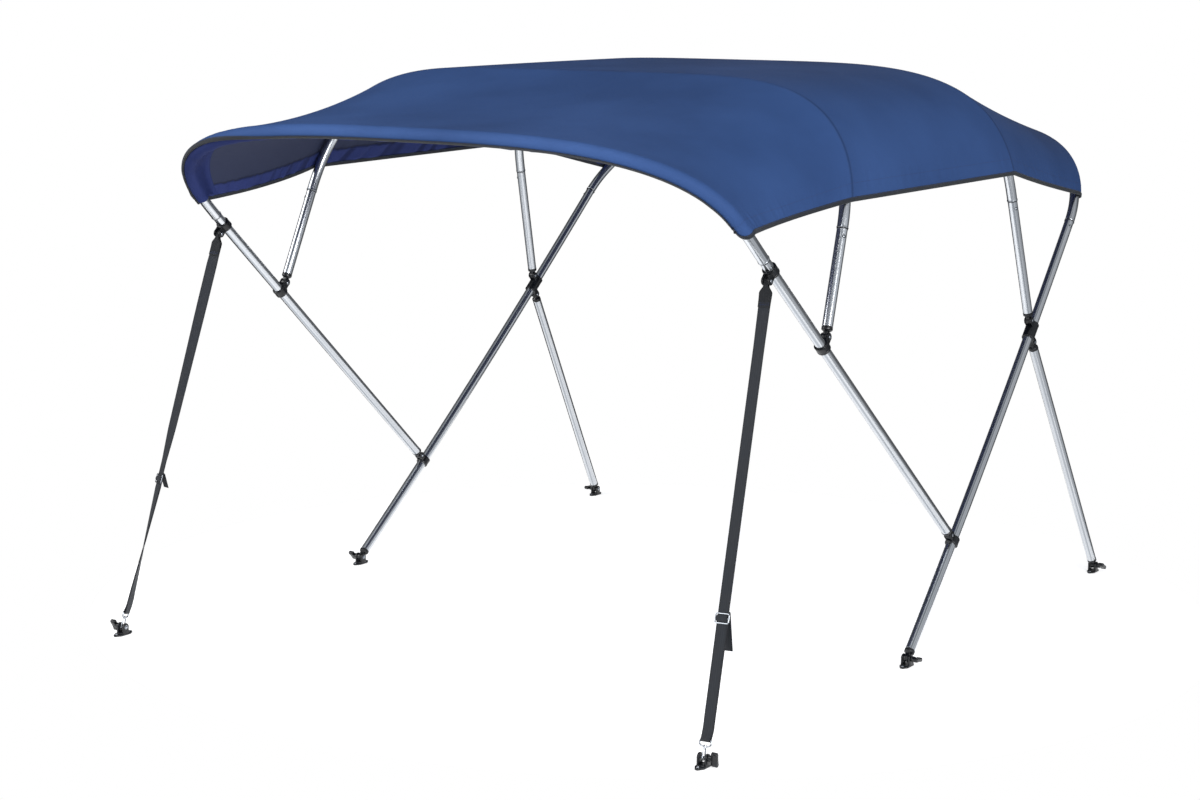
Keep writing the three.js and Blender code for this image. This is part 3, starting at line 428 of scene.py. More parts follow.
    def sweep(self, stations: Array, first: Array, second: Array, section: Array,
              uv: Array | None = None, closed: bool = False, marks: Array | None = None) -> None:
        """Closed section carried along stations: p + x first + y second for each (x, y).

        Args:
            stations: points of the path.
            first: direction of the section's x at each station.
            second: direction of its y.
            section: the section's points, at one station or at each.
            uv: map in millimetres.
            closed: whether the path returns to its start.
            marks: colour attribute at each point.
        """
        section = np.broadcast_to(section, (len(stations),) + section.shape[-2:])
        points = (stations[:, None] + section[..., :1] * first[:, None]
                  + section[..., 1:] * second[:, None])
        index = self.grid(points, wrap_rows=closed, wrap_columns=True, uv=uv, marks=marks)
        if not closed:
            self.ends(index)

    def stitches(self, ends: Array, normals: Array, width: float, rise: float) -> None:
        """Thread on a line: each stitch is a small roof, its ends sunk and its middle raised.

        Args:
            ends: pairs of points, the two ends of each stitch.
            normals: outward direction at each stitch.
            width: width of the thread.
            rise: how far its middle stands up.
        """
        start, step = ends[:, :1], np.diff(ends, axis=1)
        across = (np.cross(normals, unit(step[:, 0])) * width / 2)[:, None]
        up = (normals * rise)[:, None]
        crest = start + step * STITCH_SHARES[:, None] + up * STITCH_HEIGHTS[:, None]
        ring = np.stack([crest + across, crest + up * 0.5, crest - across, crest - up * 0.9], 2)
        index = self.take(ring)
        self.quads(np.concatenate([index, index[:, :, :1]], 2))
        self.faces.extend(index[:, 0, ::-1].tolist())
        self.faces.extend(index[:, -1].tolist())

    def mesh(self, name: str, sharp: float) -> bpy.types.Mesh:
        """The mesh with its map and marks, doubles merged and faces turned outwards.

        Args:
            name: the mesh's name.
            sharp: angle in degrees past which an edge shades sharp.

        Returns:
            The new mesh.
        """
        mesh = bpy.data.meshes.new(name)
        mesh.from_pydata((np.concatenate(self.points) * MM).tolist(), [], self.faces)
        corner = np.empty(len(mesh.loops), dtype=np.int32)
        mesh.loops.foreach_get("vertex_index", corner)
        chart = (np.concatenate(self.uv) * MM)[corner].astype(np.float32)
        mesh.uv_layers.new(name="map").data.foreach_set("uv", chart.ravel())
        colours = np.concatenate([np.concatenate(self.marks), np.ones((self.count, 1))], 1)
        marks = mesh.attributes.new("marks", "FLOAT_COLOR", "POINT")
        marks.data.foreach_set("color", colours.astype(np.float32).ravel())
        work = bmesh.new()
        work.from_mesh(mesh)
        bmesh.ops.remove_doubles(work, verts=work.verts, dist=MERGE_DISTANCE)
        bmesh.ops.recalc_face_normals(work, faces=work.faces)
        work.to_mesh(mesh)
        work.free()
        mesh.polygons.foreach_set("use_smooth", np.ones(len(mesh.polygons), dtype=bool))
        mesh.set_sharp_from_angle(angle=math.radians(sharp))
        return mesh

    def build(self, name: str, finish: "Finish", body: str = MAIN_BODY,
              replaces: tuple[str, ...] = (), sharp: float = 35.0) -> bpy.types.Object:
        """Makes the piece, rides it on its body and hides the CAD nodes it replaces.

        Args:
            name: the piece's name.
            finish: its finish.
            body: the CAD body it moves with.
            replaces: the CAD nodes it stands for.
            sharp: angle in degrees past which an edge shades sharp.

        Returns:
            The new object.
        """
        mesh = self.mesh(name, sharp)
        mesh.materials.append(finish.material())
        piece = in_scene(name, mesh)
        bpy.context.view_layer.update()
        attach(piece, body)
        if replaces:
            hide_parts(*replaces)
        log.info("%s: %d faces", name, len(mesh.polygons))
        return piece

    def build_node(self, name: str, finish: "Finish", body: str = MAIN_BODY,
                   sharp: float = 35.0) -> bpy.types.Object:
        """Makes a piece that stands for the CAD node of its own name, as build does."""
        return self.build(name, finish, body, (name,), sharp)


# ---------------------------------------------------------------- finishes


class Tree:
    """A node tree, with short calls for the nodes it uses."""

    def __init__(self, tree: bpy.types.NodeTree) -> None:
        """Takes the tree that nodes are added to."""
        self.tree = tree

    def add(self, kind: str, inputs: dict | None = None, **settings: object) -> bpy.types.Node:
        """Adds a node, sets its properties, and sets or links its inputs.

        Args:
            kind: the node's type.
            inputs: values or sockets by input name or number.
            settings: properties of the node.

        Returns:
            The node.
        """
        node = self.tree.nodes.new(kind)
        for key, value in settings.items():
            setattr(node, key, value)
        for key, value in (inputs or {}).items():
            self.put(node.inputs[key], value)
        return node

    def put(self, socket: Socket, value: object) -> None:
        """Links a socket, or sets a constant, on an input."""
        if isinstance(value, Socket):
            self.tree.links.new(value, socket)
        else:
            socket.default_value = value

    def plus(self, first: object, second: object) -> Socket:
        """Sum of two values."""
        return self.add("ShaderNodeMath", {0: first, 1: second}, operation="ADD").outputs[0]

    def times(self, first: object, second: object) -> Socket:
        """Product of two values."""
        return self.add("ShaderNodeMath", {0: first, 1: second}, operation="MULTIPLY").outputs[0]


class Recipe(Tree):
    """A material's node tree round a Principled shader."""

    def __init__(self, name: str) -> None:
        """Starts a material with a bare Principled shader."""
        self.material = bpy.data.materials.new(name)
        self.material.use_nodes = True
        super().__init__(self.material.node_tree)
        self.shader = self.tree.nodes["Principled BSDF"]

    def set(self, **inputs: object) -> None:
        """Sets inputs of the shader, with _ for each space in their names."""
        for key, value in inputs.items():
            self.put(self.shader.inputs[key.replace("_", " ")], value)

    def noise(self, where: Socket, scale: float, detail: float) -> Socket:
        """Noise from 0 to 1."""
        inputs = {"Vector": where, "Scale": scale, "Detail": detail}
        return self.add("ShaderNodeTexNoise", inputs).outputs["Fac"]

    def streaks(self, where: Socket, scale: Triple, detail: float) -> Socket:
        """Noise on coordinates that are scaled by axis first."""
        mapped = self.add("ShaderNodeMapping", {"Vector": where, "Scale": scale}).outputs[0]
        return self.noise(mapped, 1.0, detail)

    def spread(self, value: object, low: float, high: float, to_low: float,
               to_high: float) -> Socket:
        """Value moved from one range into another, held at its ends.

        Args:
            value: the value.
            low: low end of its range.
            high: high end of its range.
            to_low: result at the low end.
            to_high: result at the high end.

        Returns:
            The moved value.
        """
        inputs = {"Value": value, "From Min": low, "From Max": high, "To Min": to_low,
                  "To Max": to_high}
        return self.add("ShaderNodeMapRange", inputs).outputs["Result"]

    def vary(self, noise: Socket, low: float, high: float) -> Socket:
        """The usual range of a noise moved to low and high."""
        return self.spread(noise, NOISE_LOW, NOISE_HIGH, low, high)

    def between(self, share: Socket, low: float, high: float) -> Socket:
        """Value from low to high by share."""
        return self.spread(share, 0, 1, low, high)

    def blend(self, share: object, first: object, second: object) -> Socket:
        """Colour between two, by share."""
        inputs = {0: share, 6: first, 7: second}
        return self.add("ShaderNodeMix", inputs, data_type="RGBA").outputs[2]

    def dim(self, colour: Socket, share: Socket) -> Socket:
        """Colour times a share."""
        inputs = {0: colour, 3: share}
        return self.add("ShaderNodeVectorMath", inputs, operation="SCALE").outputs[0]

    def waves(self, where: Socket, axis: str, pitch: float, wander: float = 0.0) -> Socket:
        """Sine bands of a given pitch in metres along an axis of the coordinates."""
        settings = {"wave_type": "BANDS", "bands_direction": axis, "wave_profile": "SIN"}
        inputs = {"Vector": where, "Scale": BAND_SCALE / pitch, "Distortion": wander}
        return self.add("ShaderNodeTexWave", inputs, **settings).outputs["Fac"]

    def bump(self, height: object, strength: float) -> None:
        """Feeds a height in metres into the shader's normal."""
        inputs = {"Height": height, "Distance": 1.0, "Strength": strength}
        self.put(self.shader.inputs["Normal"], self.add("ShaderNodeBump", inputs).outputs[0])

    @property
    def place(self) -> Socket:
        """Object coordinates."""
        return self.add("ShaderNodeTexCoord").outputs["Object"]

    @property
    def map(self) -> Socket:
        """The piece's own map, in metres."""
        return self.add("ShaderNodeUVMap", uv_map="map").outputs[0]

    @property
    def marks(self) -> list[Socket]:
        """The three marks painted on the vertices: red, green and blue."""
        colour = self.add("ShaderNodeAttribute", attribute_name="marks").outputs["Color"]
        return list(self.add("ShaderNodeSeparateColor", {0: colour}).outputs)


def linear(red: int, green: int, blue: int) -> tuple[float, float, float, float]:
    """A screen colour, 0 to 255, as linear light with full cover."""
    screen = np.array([red, green, blue]) / 255
    light = np.where(screen <= 0.04045, screen / 12.92, ((screen + 0.055) / 1.055) ** 2.4)
    return (*light.tolist(), 1.0)


@dataclass(frozen=True)
class Finish:
    """A finish: its slot and name; each kind fills in its recipe and makes it once."""

    name: str
    slot: Slot

    def material(self) -> bpy.types.Material:
        """The finish's material, made at its first use."""
        found = bpy.data.materials.get(self.name)
        if found:
            return found
        recipe = Recipe(self.name)
        self.fill(recipe)
        return recipe.material

    def fill(self, recipe: Recipe) -> None:
        """Lays out the nodes of this finish."""
        raise NotImplementedError


@dataclass(frozen=True)
class ClothFinish(Finish):
    """Coated canopy cloth: woven face, slate backing, and hems that show the face again."""

    face: tuple = linear(58, 87, 141)
    face_deep: tuple = linear(49, 75, 124)
    backing: tuple = linear(52, 58, 82)
    hem: tuple = linear(46, 57, 110)
    thread: float = 0.0011
    slub_scale: Triple = (90, 900, 1)
    patch_scale: float = 2.4
    rumple_scale: float = 34
    painted_shade_level: float = 0.5
    weave_depth: float = 0.00012
    rumple_depth: float = 0.0009

    def fill(self, recipe: Recipe) -> None:
        """Weave bump on the map, slow shade changes, and inner colours by the marks.

        Args:
            recipe: the recipe to fill. Its marks: red is the underside, green the hem band,
            blue painted shade in the seams' creases, along the hem's edge and in its gathers' dips.
        """
        inner, hem, painted_shade = recipe.marks
        place, chart = recipe.place, recipe.map
        patches = recipe.spread(recipe.noise(place, self.patch_scale, 4), 0.35, 0.65, 0, 1)
        face = recipe.blend(patches, self.face, self.face_deep)
        colour = recipe.blend(inner, face, recipe.blend(hem, self.backing, self.hem))
        warp, weft = (recipe.waves(chart, axis, self.thread) for axis in "XY")
        weave = recipe.times(warp, weft)
        slub = recipe.streaks(chart, self.slub_scale, 2)
        shade = recipe.plus(recipe.between(weave, 0.93, 1.04), recipe.vary(slub, -0.04, 0.04))
        # Painted shade: the blue mark darkens the colour down to painted_shade_level.
        shade = recipe.times(shade, recipe.between(painted_shade, 1.0, self.painted_shade_level))
        recipe.set(Base_Color=recipe.dim(colour, shade), Roughness=recipe.vary(slub, 0.62, 0.78),
                   Specular_IOR_Level=0.14)
        rumple = recipe.noise(place, self.rumple_scale, 5)
        height = recipe.plus(recipe.times(weave, self.weave_depth),
                             recipe.times(rumple, self.rumple_depth))
        recipe.bump(height, 0.5)


@dataclass(frozen=True)
class TapeFinish(Finish):
    """Woven tape or webbing: cross ribs, rows along it, and dust in the weave."""

    face: tuple = linear(25, 29, 35)
    worn: tuple = linear(46, 52, 60)
    rib: float = 0.0016
    line: float = 0.0028
    depth: float = 0.0003
    roughness: float = 0.7
    rib_wander: float = 0.3
    dust_scale: float = 26
    loop_shade: float = 0.4
    edge_shade: float = 0.6

    def fill(self, recipe: Recipe) -> None:
        """Ribs across and rows along on the map, lighter on their crests.

        Args:
            recipe: the recipe to fill. Its marks: red is a strap's top loop, green its edges;
            both are painted shade, darkened by loop_shade and edge_shade.
        """
        place, chart = recipe.place, recipe.map
        rib = recipe.waves(chart, "Y", self.rib, self.rib_wander)
        row = recipe.waves(chart, "X", self.line)
        relief = recipe.times(rib, recipe.between(row, 0.45, 1))
        dust = recipe.noise(place, self.dust_scale, 4)
        share = recipe.times(relief, recipe.vary(dust, 0.25, 0.8))
        loop, edges, _ = recipe.marks
        # Painted shade: a strap's top loop and its edges are darkened.
        dark = recipe.times(recipe.between(loop, 1.0, self.loop_shade),
                            recipe.between(edges, 1.0, self.edge_shade))
        rough = recipe.vary(dust, self.roughness - 0.08, self.roughness + 0.1)
        recipe.set(Base_Color=recipe.dim(recipe.blend(share, self.face, self.worn), dark),
                   Roughness=rough, Sheen_Weight=0.12, Sheen_Roughness=0.4,
                   Specular_IOR_Level=0.4)
        recipe.bump(recipe.times(relief, self.depth), 0.7)


@dataclass(frozen=True)
class MetalFinish(Finish):
    """Drawn or polished metal: dark lines along it as painted reflections, faint draw marks along
    it, and light smears.
    """

    face: tuple = linear(222, 225, 229)
    deep: tuple = linear(208, 212, 217)
    painted_reflection_colour: tuple = linear(120, 128, 138)
    streaks: float = 0.6
    roughness: float = 0.18
    smear: float = 0.03
    smear_scale: float = 9
    mark_scale: Triple = (1500, 9, 1)
    mark_depth: float = 0.0000004
    painted_reflection_scale: Triple = (130, 0.3, 1)

    def fill(self, recipe: Recipe) -> None:
        """Painted reflection lines and draw marks from noise stretched along the map, smears from a
        wide noise.
        """
        smear = recipe.noise(recipe.place, self.smear_scale, 5)
        marks = recipe.streaks(recipe.map, self.mark_scale, 2)
        # Painted reflection: dark lines along the tube stand in for reflected studio edges, blended
        # in up to the share streaks.
        lines = recipe.streaks(recipe.map, self.painted_reflection_scale, 1)
        colour = recipe.blend(recipe.vary(smear, 0, 1), self.face, self.deep)
        colour = recipe.blend(recipe.spread(lines, 0.46, 0.68, 0, self.streaks), colour,
                              self.painted_reflection_colour)
        smooth, dull = self.roughness - self.smear / 2, self.roughness + self.smear
        rough = recipe.plus(recipe.vary(smear, smooth, dull), recipe.vary(marks, 0, 0.05))
        recipe.set(Base_Color=colour, Metallic=1.0, Roughness=rough)
        recipe.bump(recipe.times(marks, self.mark_depth), 0.3)


@dataclass(frozen=True)
class PlasticFinish(Finish):
    """Glass-filled nylon: fine moulded grain, and spots rubbed a little paler."""

    face: tuple = linear(12, 14, 18)
    rubbed: tuple = linear(32, 36, 43)
    roughness: float = 0.27
    grain_scale: float = 1900
    grain_depth: float = 0.00005
    rub_scale: float = 60

    def fill(self, recipe: Recipe) -> None:
        """Grain from fine noise; rubbed spots from a wide noise."""
        place = recipe.place
        grain = recipe.noise(place, self.grain_scale, 2)
        rub = recipe.noise(place, self.rub_scale, 5)
        colour = recipe.blend(recipe.spread(rub, 0.52, 0.75, 0, 0.6), self.face, self.rubbed)
        rough = recipe.vary(rub, self.roughness - 0.08, self.roughness + 0.12)
        recipe.set(Base_Color=colour, Roughness=rough, Specular_IOR_Level=0.45)
        recipe.bump(recipe.times(grain, self.grain_depth), 0.5)


@dataclass(frozen=True)
class Palette:
    """All finishes of the part."""

    cloth: Finish = ClothFinish("canopy_cloth", Slot.CLOTH)
    sleeve: Finish = ClothFinish("sleeve_cloth", Slot.SLEEVE, face=linear(42, 54, 106),
                                 face_deep=linear(34, 44, 92))
    thread: Finish = TapeFinish("seam_thread", Slot.BINDING, face=linear(38, 56, 100),
                                worn=linear(58, 82, 130))
    binding: Finish = TapeFinish("edge_tape", Slot.BINDING)
    webbing: Finish = TapeFinish("strap_webbing", Slot.WEBBING, face=linear(24, 27, 33),
                                 worn=linear(54, 60, 69), rib=0.0022, line=0.0056, depth=0.0005)
    tube: Finish = MetalFinish("drawn_aluminium", Slot.TUBE)
    steel: Finish = MetalFinish("polished_steel", Slot.STEEL, face=linear(172, 176, 182),
                                deep=linear(148, 153, 160), streaks=0.2, roughness=0.12,
                                smear=0.05)
    nylon: Finish = PlasticFinish("moulded_nylon", Slot.NYLON)


# ---------------------------------------------------------------- layout of the frame


@dataclass(frozen=True)
class Bow:
    """One bow: its joint on the leg, rise to the crown, shape powers, and cloth rim heights."""

    name: str
    y: float
    z: float
    rise: float
    shoulder: float
    crown: float
    pull: float
    near: float
    far: float

    @property
    def joint(self) -> Array:
        """The joint's y and z."""
        return np.array([self.y, self.z])


BOWS = (
    Bow("a", -834, 1049, 330, 3.2, 3.65, -0.118, 88, 56),
    Bow("b", -470, 1093.5, 338.5, 5.87, 2.21, 0.0379, 62, 62),
    Bow("c", 485, 1103, 344.8, 4.6, 2.86, -0.0297, 70, 84),
    Bow("d", 870.5, 1022, 366.7, 5.23, 1.94, -0.0477, 95, 95),
)


@dataclass
class Layout:
    """Where legs, bows, pivots and feet lie; each side frame is a leaning plane."""

    foot_half_width: float = 873
    lean: float = 0.0646
    bolt_height: float = 21
    main_foot_y: float = -189
    rear_foot_y: float = 1020
    strap_foot_y: float = -1134
    strap_foot_inset: float = 9
    main_sag: float = 17
    leg_a_on_main_y: float = 83
    leg_c_on_main_y: float = 591.5
    brace_on_main_y: float = 585
    leg_b_below_joint: float = 343
    strap_below_joint: float = 27
    pivot_offset: float = 27.5

    def __post_init__(self) -> None:
        """Works out feet, crossings, headings, and each pivot with its seat on its host."""
        bow_a, bow_b, bow_c = BOWS[:3]
        self.main_foot, self.rear_foot, self.strap_foot = (
            np.array([y, self.bolt_height])
            for y in (self.main_foot_y, self.rear_foot_y, self.strap_foot_y))
        leg_a, leg_c, brace = (
            self.main_leg(self.main_share(y))
            for y in (self.leg_a_on_main_y, self.leg_c_on_main_y, self.brace_on_main_y))
        a = unit(bow_a.joint - leg_a)
        leg_b = bow_a.joint - a * self.leg_b_below_joint
        strap = bow_a.joint - a * self.strap_below_joint
        self.headings = {"a": a, "b": unit(bow_b.joint - leg_b), "c": unit(bow_c.joint - leg_c),
                         "d": unit(self.main_leg(1.0) - self.main_leg(0.98))}
        main_at_a = self.main_heading(self.leg_a_on_main_y)
        main_at_c = self.main_heading((self.leg_c_on_main_y + self.brace_on_main_y) / 2)
        self.hosts = {"a": main_at_a, "b": a, "c_e": main_at_c, "strap": a}
        self.pivots = {
            "a": self.beside(leg_a, a, main_at_a),
            "b": self.beside(leg_b, self.headings["b"], a),
            "c": self.beside(leg_c, self.headings["c"], main_at_c),
            "e": self.beside(brace, unit(self.rear_foot - brace), main_at_c),
            "strap": self.beside(strap, unit(self.strap_foot - strap), a),
        }

    def main_share(self, y: float) -> float:
        """Share of the main leg at a given y."""
        return (y - self.main_foot_y) / (BOWS[3].y - self.main_foot_y)

    def main_leg(self, share: Array | float) -> Array:
        """The main leg's y and z: a straight line that sags by 4 sag s (1 - s)."""
        s = np.asarray(share, float)[..., None]
        line = self.main_foot * (1 - s) + BOWS[3].joint * s
        return line - np.concatenate([0 * s, 4 * self.main_sag * s * (1 - s)], -1)

    def main_heading(self, y: float, reach: float = 0.02) -> Array:
        """Direction of the main leg at a given y, from its shares reach before and after."""
        share = self.main_share(y)
        return unit(self.main_leg(share + reach) - self.main_leg(share - reach))

    def side_x(self, z: Array) -> Array:
        """Distance of the side plane from the middle at a height: half width - lean z."""
        return self.foot_half_width - self.lean * z

    def point(self, side: Side, at: Array) -> Array:
        """Points of a side plane given by y and z, in space."""
        at = np.asarray(at, float)
        return np.stack([side.value * self.side_x(at[..., 1]), at[..., 0], at[..., 1]], -1)

    def outward(self, side: Side) -> Array:
        """Normal of a side plane."""
        return unit(np.array([side.value, 0.0, self.lean]))

    def bolts(self, side: Side) -> dict[str, Array]:
        """Middles of one side's hinge bolts, by hinge."""
        inset = X_AXIS * side.value * self.strap_foot_inset
        return {"main": self.point(side, self.main_foot),
                "rear": self.point(side, self.rear_foot),
                "strap": self.point(side, self.strap_foot) - inset}

    def bow_points(self, bow: Bow, up: Array, sign: Array) -> Array:
        """Bow centre line: x = half (1 - s^crown)^(1/shoulder), s = up / rise, pulled square to it.

        Args:
            bow: the bow.
            up: distances up from the joint.
            sign: side of the middle, -1 or 1.

        Returns:
            The points.
        """
        dy, dz = self.headings[bow.name]
        share = np.clip(up / bow.rise, 0, 1)
        half = self.side_x(bow.z) - self.lean * dz * up
        x = half * (1 - share ** bow.crown) ** (1 / bow.shoulder)
        pull = bow.pull * up * share
        return np.stack([sign * x, bow.y + dy * up - dz * pull, bow.z + dz * up + dy * pull], -1)

    def bow_track(self, bow: Bow, far_up: float, near_up: float, half_steps: int = 900) -> Track:
        """The bow over its crown, from a height on its far side to one on its near side.

        Args:
            bow: the bow.
            far_up: distance up from the far joint where it starts.
            near_up: distance up from the near joint where it ends.
            half_steps: steps from the crown to each end.

        Returns:
            The track.
        """
        k = np.arange(-half_steps, half_steps + 1)
        start = np.where(k < 0, far_up, near_up)
        up = start + (bow.rise - start) * np.sin((1 - np.abs(k) / half_steps) * np.pi / 2)
        return Track(self.bow_points(bow, up, np.where(k < 0, -1.0, 1.0)))

    def beside(self, crossing: Array, leg: Array, host: Array) -> tuple[Array, Array]:
        """Pivot of a leg beside the tube that carries it, and its seat on that tube.

        Args:
            crossing: where the two centre lines would cross.
            leg: direction of the leg.
            host: direction of the carrying tube.

        Returns:
            The pivot and the seat, as y and z.
        """
        reach = self.pivot_offset / abs(leg[0] * host[1] - leg[1] * host[0])
        return crossing + leg * reach, crossing + host * reach * float(leg @ host)


# ---------------------------------------------------------------- canopy


@dataclass
class Wrap:
    """How the cloth turns round an end bow: its turn, less at the far side, lip and corner cuts."""

    turn: float
    far_turn: float
    lip: float
    far: float
    near: float
    full_from: float = 0.30
    ease_from: float = 0.12

    def angle(self, share: Array) -> Array:
        """Turn in radians at shares of the bow: far_turn at the far side, eased to turn."""
        eased = smooth_step(share, self.ease_from, self.full_from)
        return np.radians(self.far_turn + (self.turn - self.far_turn) * eased)


def bell(values: Array, middle: float, width: float) -> Array:
    """Gaussian exp(-((v - middle) / width)^2)."""
    return np.exp(-((values - middle) / width) ** 2)


@dataclass
class Canopy:
    """The cloth: three panels sewn over bows b and c, its binding, front sleeve and stitching."""

    layout: Layout
    palette: Palette
    thick: float = 1.5
    reach_out: float = 18.15
    half_arc: float = 932
    sags: Triple = (24, -1.1, 7.9)
    bow_steps: int = 1201
    row_pitch: float = 6.0
    column_pitch: float = 11.0
    rim_zone: float = 52
    rim_pitch: float = 3.2
    front: Wrap = field(default_factory=lambda: Wrap(130, 65, 0, 16, 29))
    rear: Wrap = field(default_factory=lambda: Wrap(60, 60, 9, 17, 17))
    wrap_rows: int = 14
    corner_zone: float = 80
    round_width: float = 8.0
    round_zone: float = 45.0
    hem: float = 45
    hem_fold: float = 1.2
    hem_folds: float = 3.0
    pucker: float = 0.9
    pucker_width: float = 24
    rim_waves: tuple[float, float] = (13, 12)
    rim_swells: tuple[float, float] = (70, 60)
    gather_waves: tuple[float, float] = (26, 24)
    gather_slant: float = 0.8
    gather_share: float = 0.3
    front_hem: float = 34
    front_width: float = 20
    front_waves: float = 15
    front_share: float = 0.4
    corner_reach: float = 120
    corner_run: tuple[float, float] = (40, 110)
    corner_waves: float = 21
    corner_slant: tuple[float, float] = (0.5, 0.9)
    corner_folds: float = 1.1
    hem_waver: float = 1.5
    hem_waves: float = 11
    shadow_width: float = 3.0
    shadow_waves: float = 7
    binding_width: float = 9
    binding_thick: float = 1.0
    binding_gap: float = 0.25
    binding_flat: float = 24.2
    binding_pitch: float = 5.0
    seam_full: float = 240
    seam_gone: float = 430
    seam_rise: float = 0.45
    # Painted shade in the seams' creases: how dark it is, and how wide.
    painted_crease_strength: float = 0.8
    crease_width: float = 1.7
    sleeve_seam: float = 88
    sleeve_trim: float = 14
    sleeve_tuck: float = 8
    sleeve_end: float = 233.5
    sleeve_ring: Pairs = ((0, 13.6), (0.14, 13.8), (0.38, 14.4), (0.68, 15.0), (1, 16.2))
    sleeve_rows: int = 44
    sleeve_thick: float = 0.9
    sleeve_lift: float = 2.6
    sleeve_waves: tuple[float, float] = (17, 31)
    sleeve_ease: Pairs = ((4, 1.6), (0, 0.5))
    sleeve_flat: float = 112
    stitch_pitch: float = 5.2
    stitch_share: float = 0.68
    thread_width: float = 0.75
    thread_rise: float = 0.3
    names: tuple[str, ...] = ("canopy_front", "canopy_middle", "canopy_rear")

    def __post_init__(self) -> None:
        """Works out the frames on the bows and the grid of the cloth."""
        self.share = np.linspace(0, 1, self.bow_steps)
        tracks = [self.layout.bow_track(bow, bow.far, bow.near) for bow in BOWS]
        placed = [track.at(self.share * track.length) for track in tracks]
        self.centres = [centre for centre, _ in placed]
        self.afts, self.outs = [], []
        for k, (centre, tangent) in enumerate(placed):
            aft = np.zeros_like(centre)
            if k > 0:
                aft += unit(centre - self.centres[k - 1])
            if k < len(BOWS) - 1:
                aft += unit(self.centres[k + 1] - centre)
            aft = square_to(aft, tangent)
            self.afts.append(aft)
            self.outs.append(unit(np.cross(tangent, aft)))
        self.lay_grid()

    def frame_at(self, index: int, share: Array) -> tuple[Array, Array, Array]:
        """Middle, aft and outward directions of a bow at shares of its arc."""
        centre, aft, out = (read(share, self.share, rows[index])
                            for rows in (self.centres, self.afts, self.outs))
        return centre, aft, out

    def column_shares(self, far_cut: float = 0.0, near_cut: float = 0.0) -> Array:
        """Shares of the columns; a cut moves those near a rim in by cut (1 - reach / zone)^2."""
        half = self.half_reach
        fade = np.clip(1 - half / self.corner_zone, 0, 1) ** 2
        far, near = ((half + cut * fade) / (2 * self.half_arc) for cut in (far_cut, near_cut))
        return np.concatenate([far, [0.5], 1 - near[::-1]])

    def wrap_grid(self, index: int, sign: int, wrap: Wrap) -> tuple[Array, Array]:
        """Rows from lip to top line: centre + out (R cos a - l sin a) + aft (R sin a + l cos a).

        Args:
            index: the bow.
            sign: -1 at the front, 1 at the rear.
            wrap: the turn and lip there, with quarter-ellipse corners.

        Returns:
            The rows and each row's distance from the lip.
        """
        radius = self.reach_out
        run = wrap.lip + math.radians(wrap.turn) * radius
        phase = np.linspace(0, np.pi / 2, self.wrap_rows)
        along = run * (1 - np.cos(phase))
        rows = []
        for distance, cut in zip(along, 1 - np.sin(phase)):
            lip = max(wrap.lip - distance, 0.0)
            share = self.column_shares(wrap.far * cut, wrap.near * cut)
            left = 1 - max(distance - wrap.lip, 0.0) / (run - wrap.lip)
            turn = (wrap.angle(share) * left)[:, None]
            centre, aft, out = self.frame_at(index, share)
            rows.append(centre + out * (radius * np.cos(turn) - lip * np.sin(turn))
                        + aft * sign * (radius * np.sin(turn) + lip * np.cos(turn)))
        return np.stack(rows), along

    def lay_grid(self) -> None:
        """Stacks wraps and panels into one grid, rounds it over the bows and adds the puckers."""
        fine = np.arange(0, self.rim_zone, self.rim_pitch)
        columns = int((self.half_arc - self.rim_zone) / self.column_pitch)
        wide = np.linspace(self.rim_zone, self.half_arc, columns, endpoint=False)
        self.half_reach = np.concatenate([fine, wide])
        share = self.column_shares()
        frames = [self.frame_at(k, share) for k in range(len(BOWS))]
        contact = [centre + out * self.reach_out for centre, _, out in frames]
        front, run = self.wrap_grid(0, -1, self.front)
        rows, lengths, self.seam_rows = [front], [run], []
        for k, sag in enumerate(self.sags):
            first, second = contact[k], contact[k + 1]
            span = float(np.median(np.linalg.norm(second - first, axis=1)))
            s = np.linspace(0, 1, int(span / self.row_pitch) + 1)[1:, None, None]
            out = unit(frames[k][2] + frames[k + 1][2])
            rows.append(first * (1 - s) + second * s - out * 4 * s * (1 - s) * sag)
            lengths.append(lengths[-1][-1] + s[:, 0, 0] * span)
            self.seam_rows.append(sum(len(part) for part in rows) - 1)
        rear, run = self.wrap_grid(len(BOWS) - 1, 1, self.rear)
        rows.append(rear[::-1][1:])
        lengths.append(lengths[-1][-1] + run[-1] - run[::-1][1:])
        self.grid = np.concatenate(rows)
        self.run = np.concatenate(lengths)
        self.round_over_bows()
        reach = np.concatenate([self.half_reach, [self.half_arc], self.half_reach[::-1]])
        self.reach = np.broadcast_to(reach, self.grid.shape[:2])
        self.across = share * 2 * self.half_arc
        self.grid = self.grid + self.normals(self.grid) * self.puckers()[..., None]
        self.normal = self.normals(self.grid)

    def normals(self, grid: Array) -> Array:
        """Outward normals: the columns' step crossed with the rows' step."""
        return unit(np.cross(np.gradient(grid, axis=1), np.gradient(grid, axis=0)))

    def round_over_bows(self) -> None:
        """Rounds the cloth over bows b and c: each row there becomes a Gaussian mean of rows."""
        away = self.run[:, None] - self.run[self.seam_rows[:2]]
        near = np.exp(-np.min(np.abs(away), 1) ** 2 / self.round_zone ** 2)
        weight = np.exp(-((self.run[:, None] - self.run) / self.round_width) ** 2 / 2)
        weight *= np.gradient(self.run)
        mean = np.tensordot(weight / weight.sum(1, keepdims=True), self.grid, 1)
        self.grid = self.grid + (mean - self.grid) * near[:, None, None]

    def side_waves(self, pitches: tuple[float, float], seed: int, slant: float = 0.0) -> Array:
        """Smooth noise along the two side rims, each with its own pitch and seed.

        Args:
            pitches: pitch on the near side and on the far side.
            seed: seed on the near side; the far side has the next one.
            slant: how far the waves lean over per distance from the rim.

        Returns:
            Values from -1 to 1, rows x columns.
        """
        run, lean = self.run[:, None], slant * self.reach
        near, far = ripple(run + lean, pitches[0], seed), ripple(run - lean, pitches[1], seed + 1)
        return np.where(self.across[None, :] > self.half_arc, near, far)

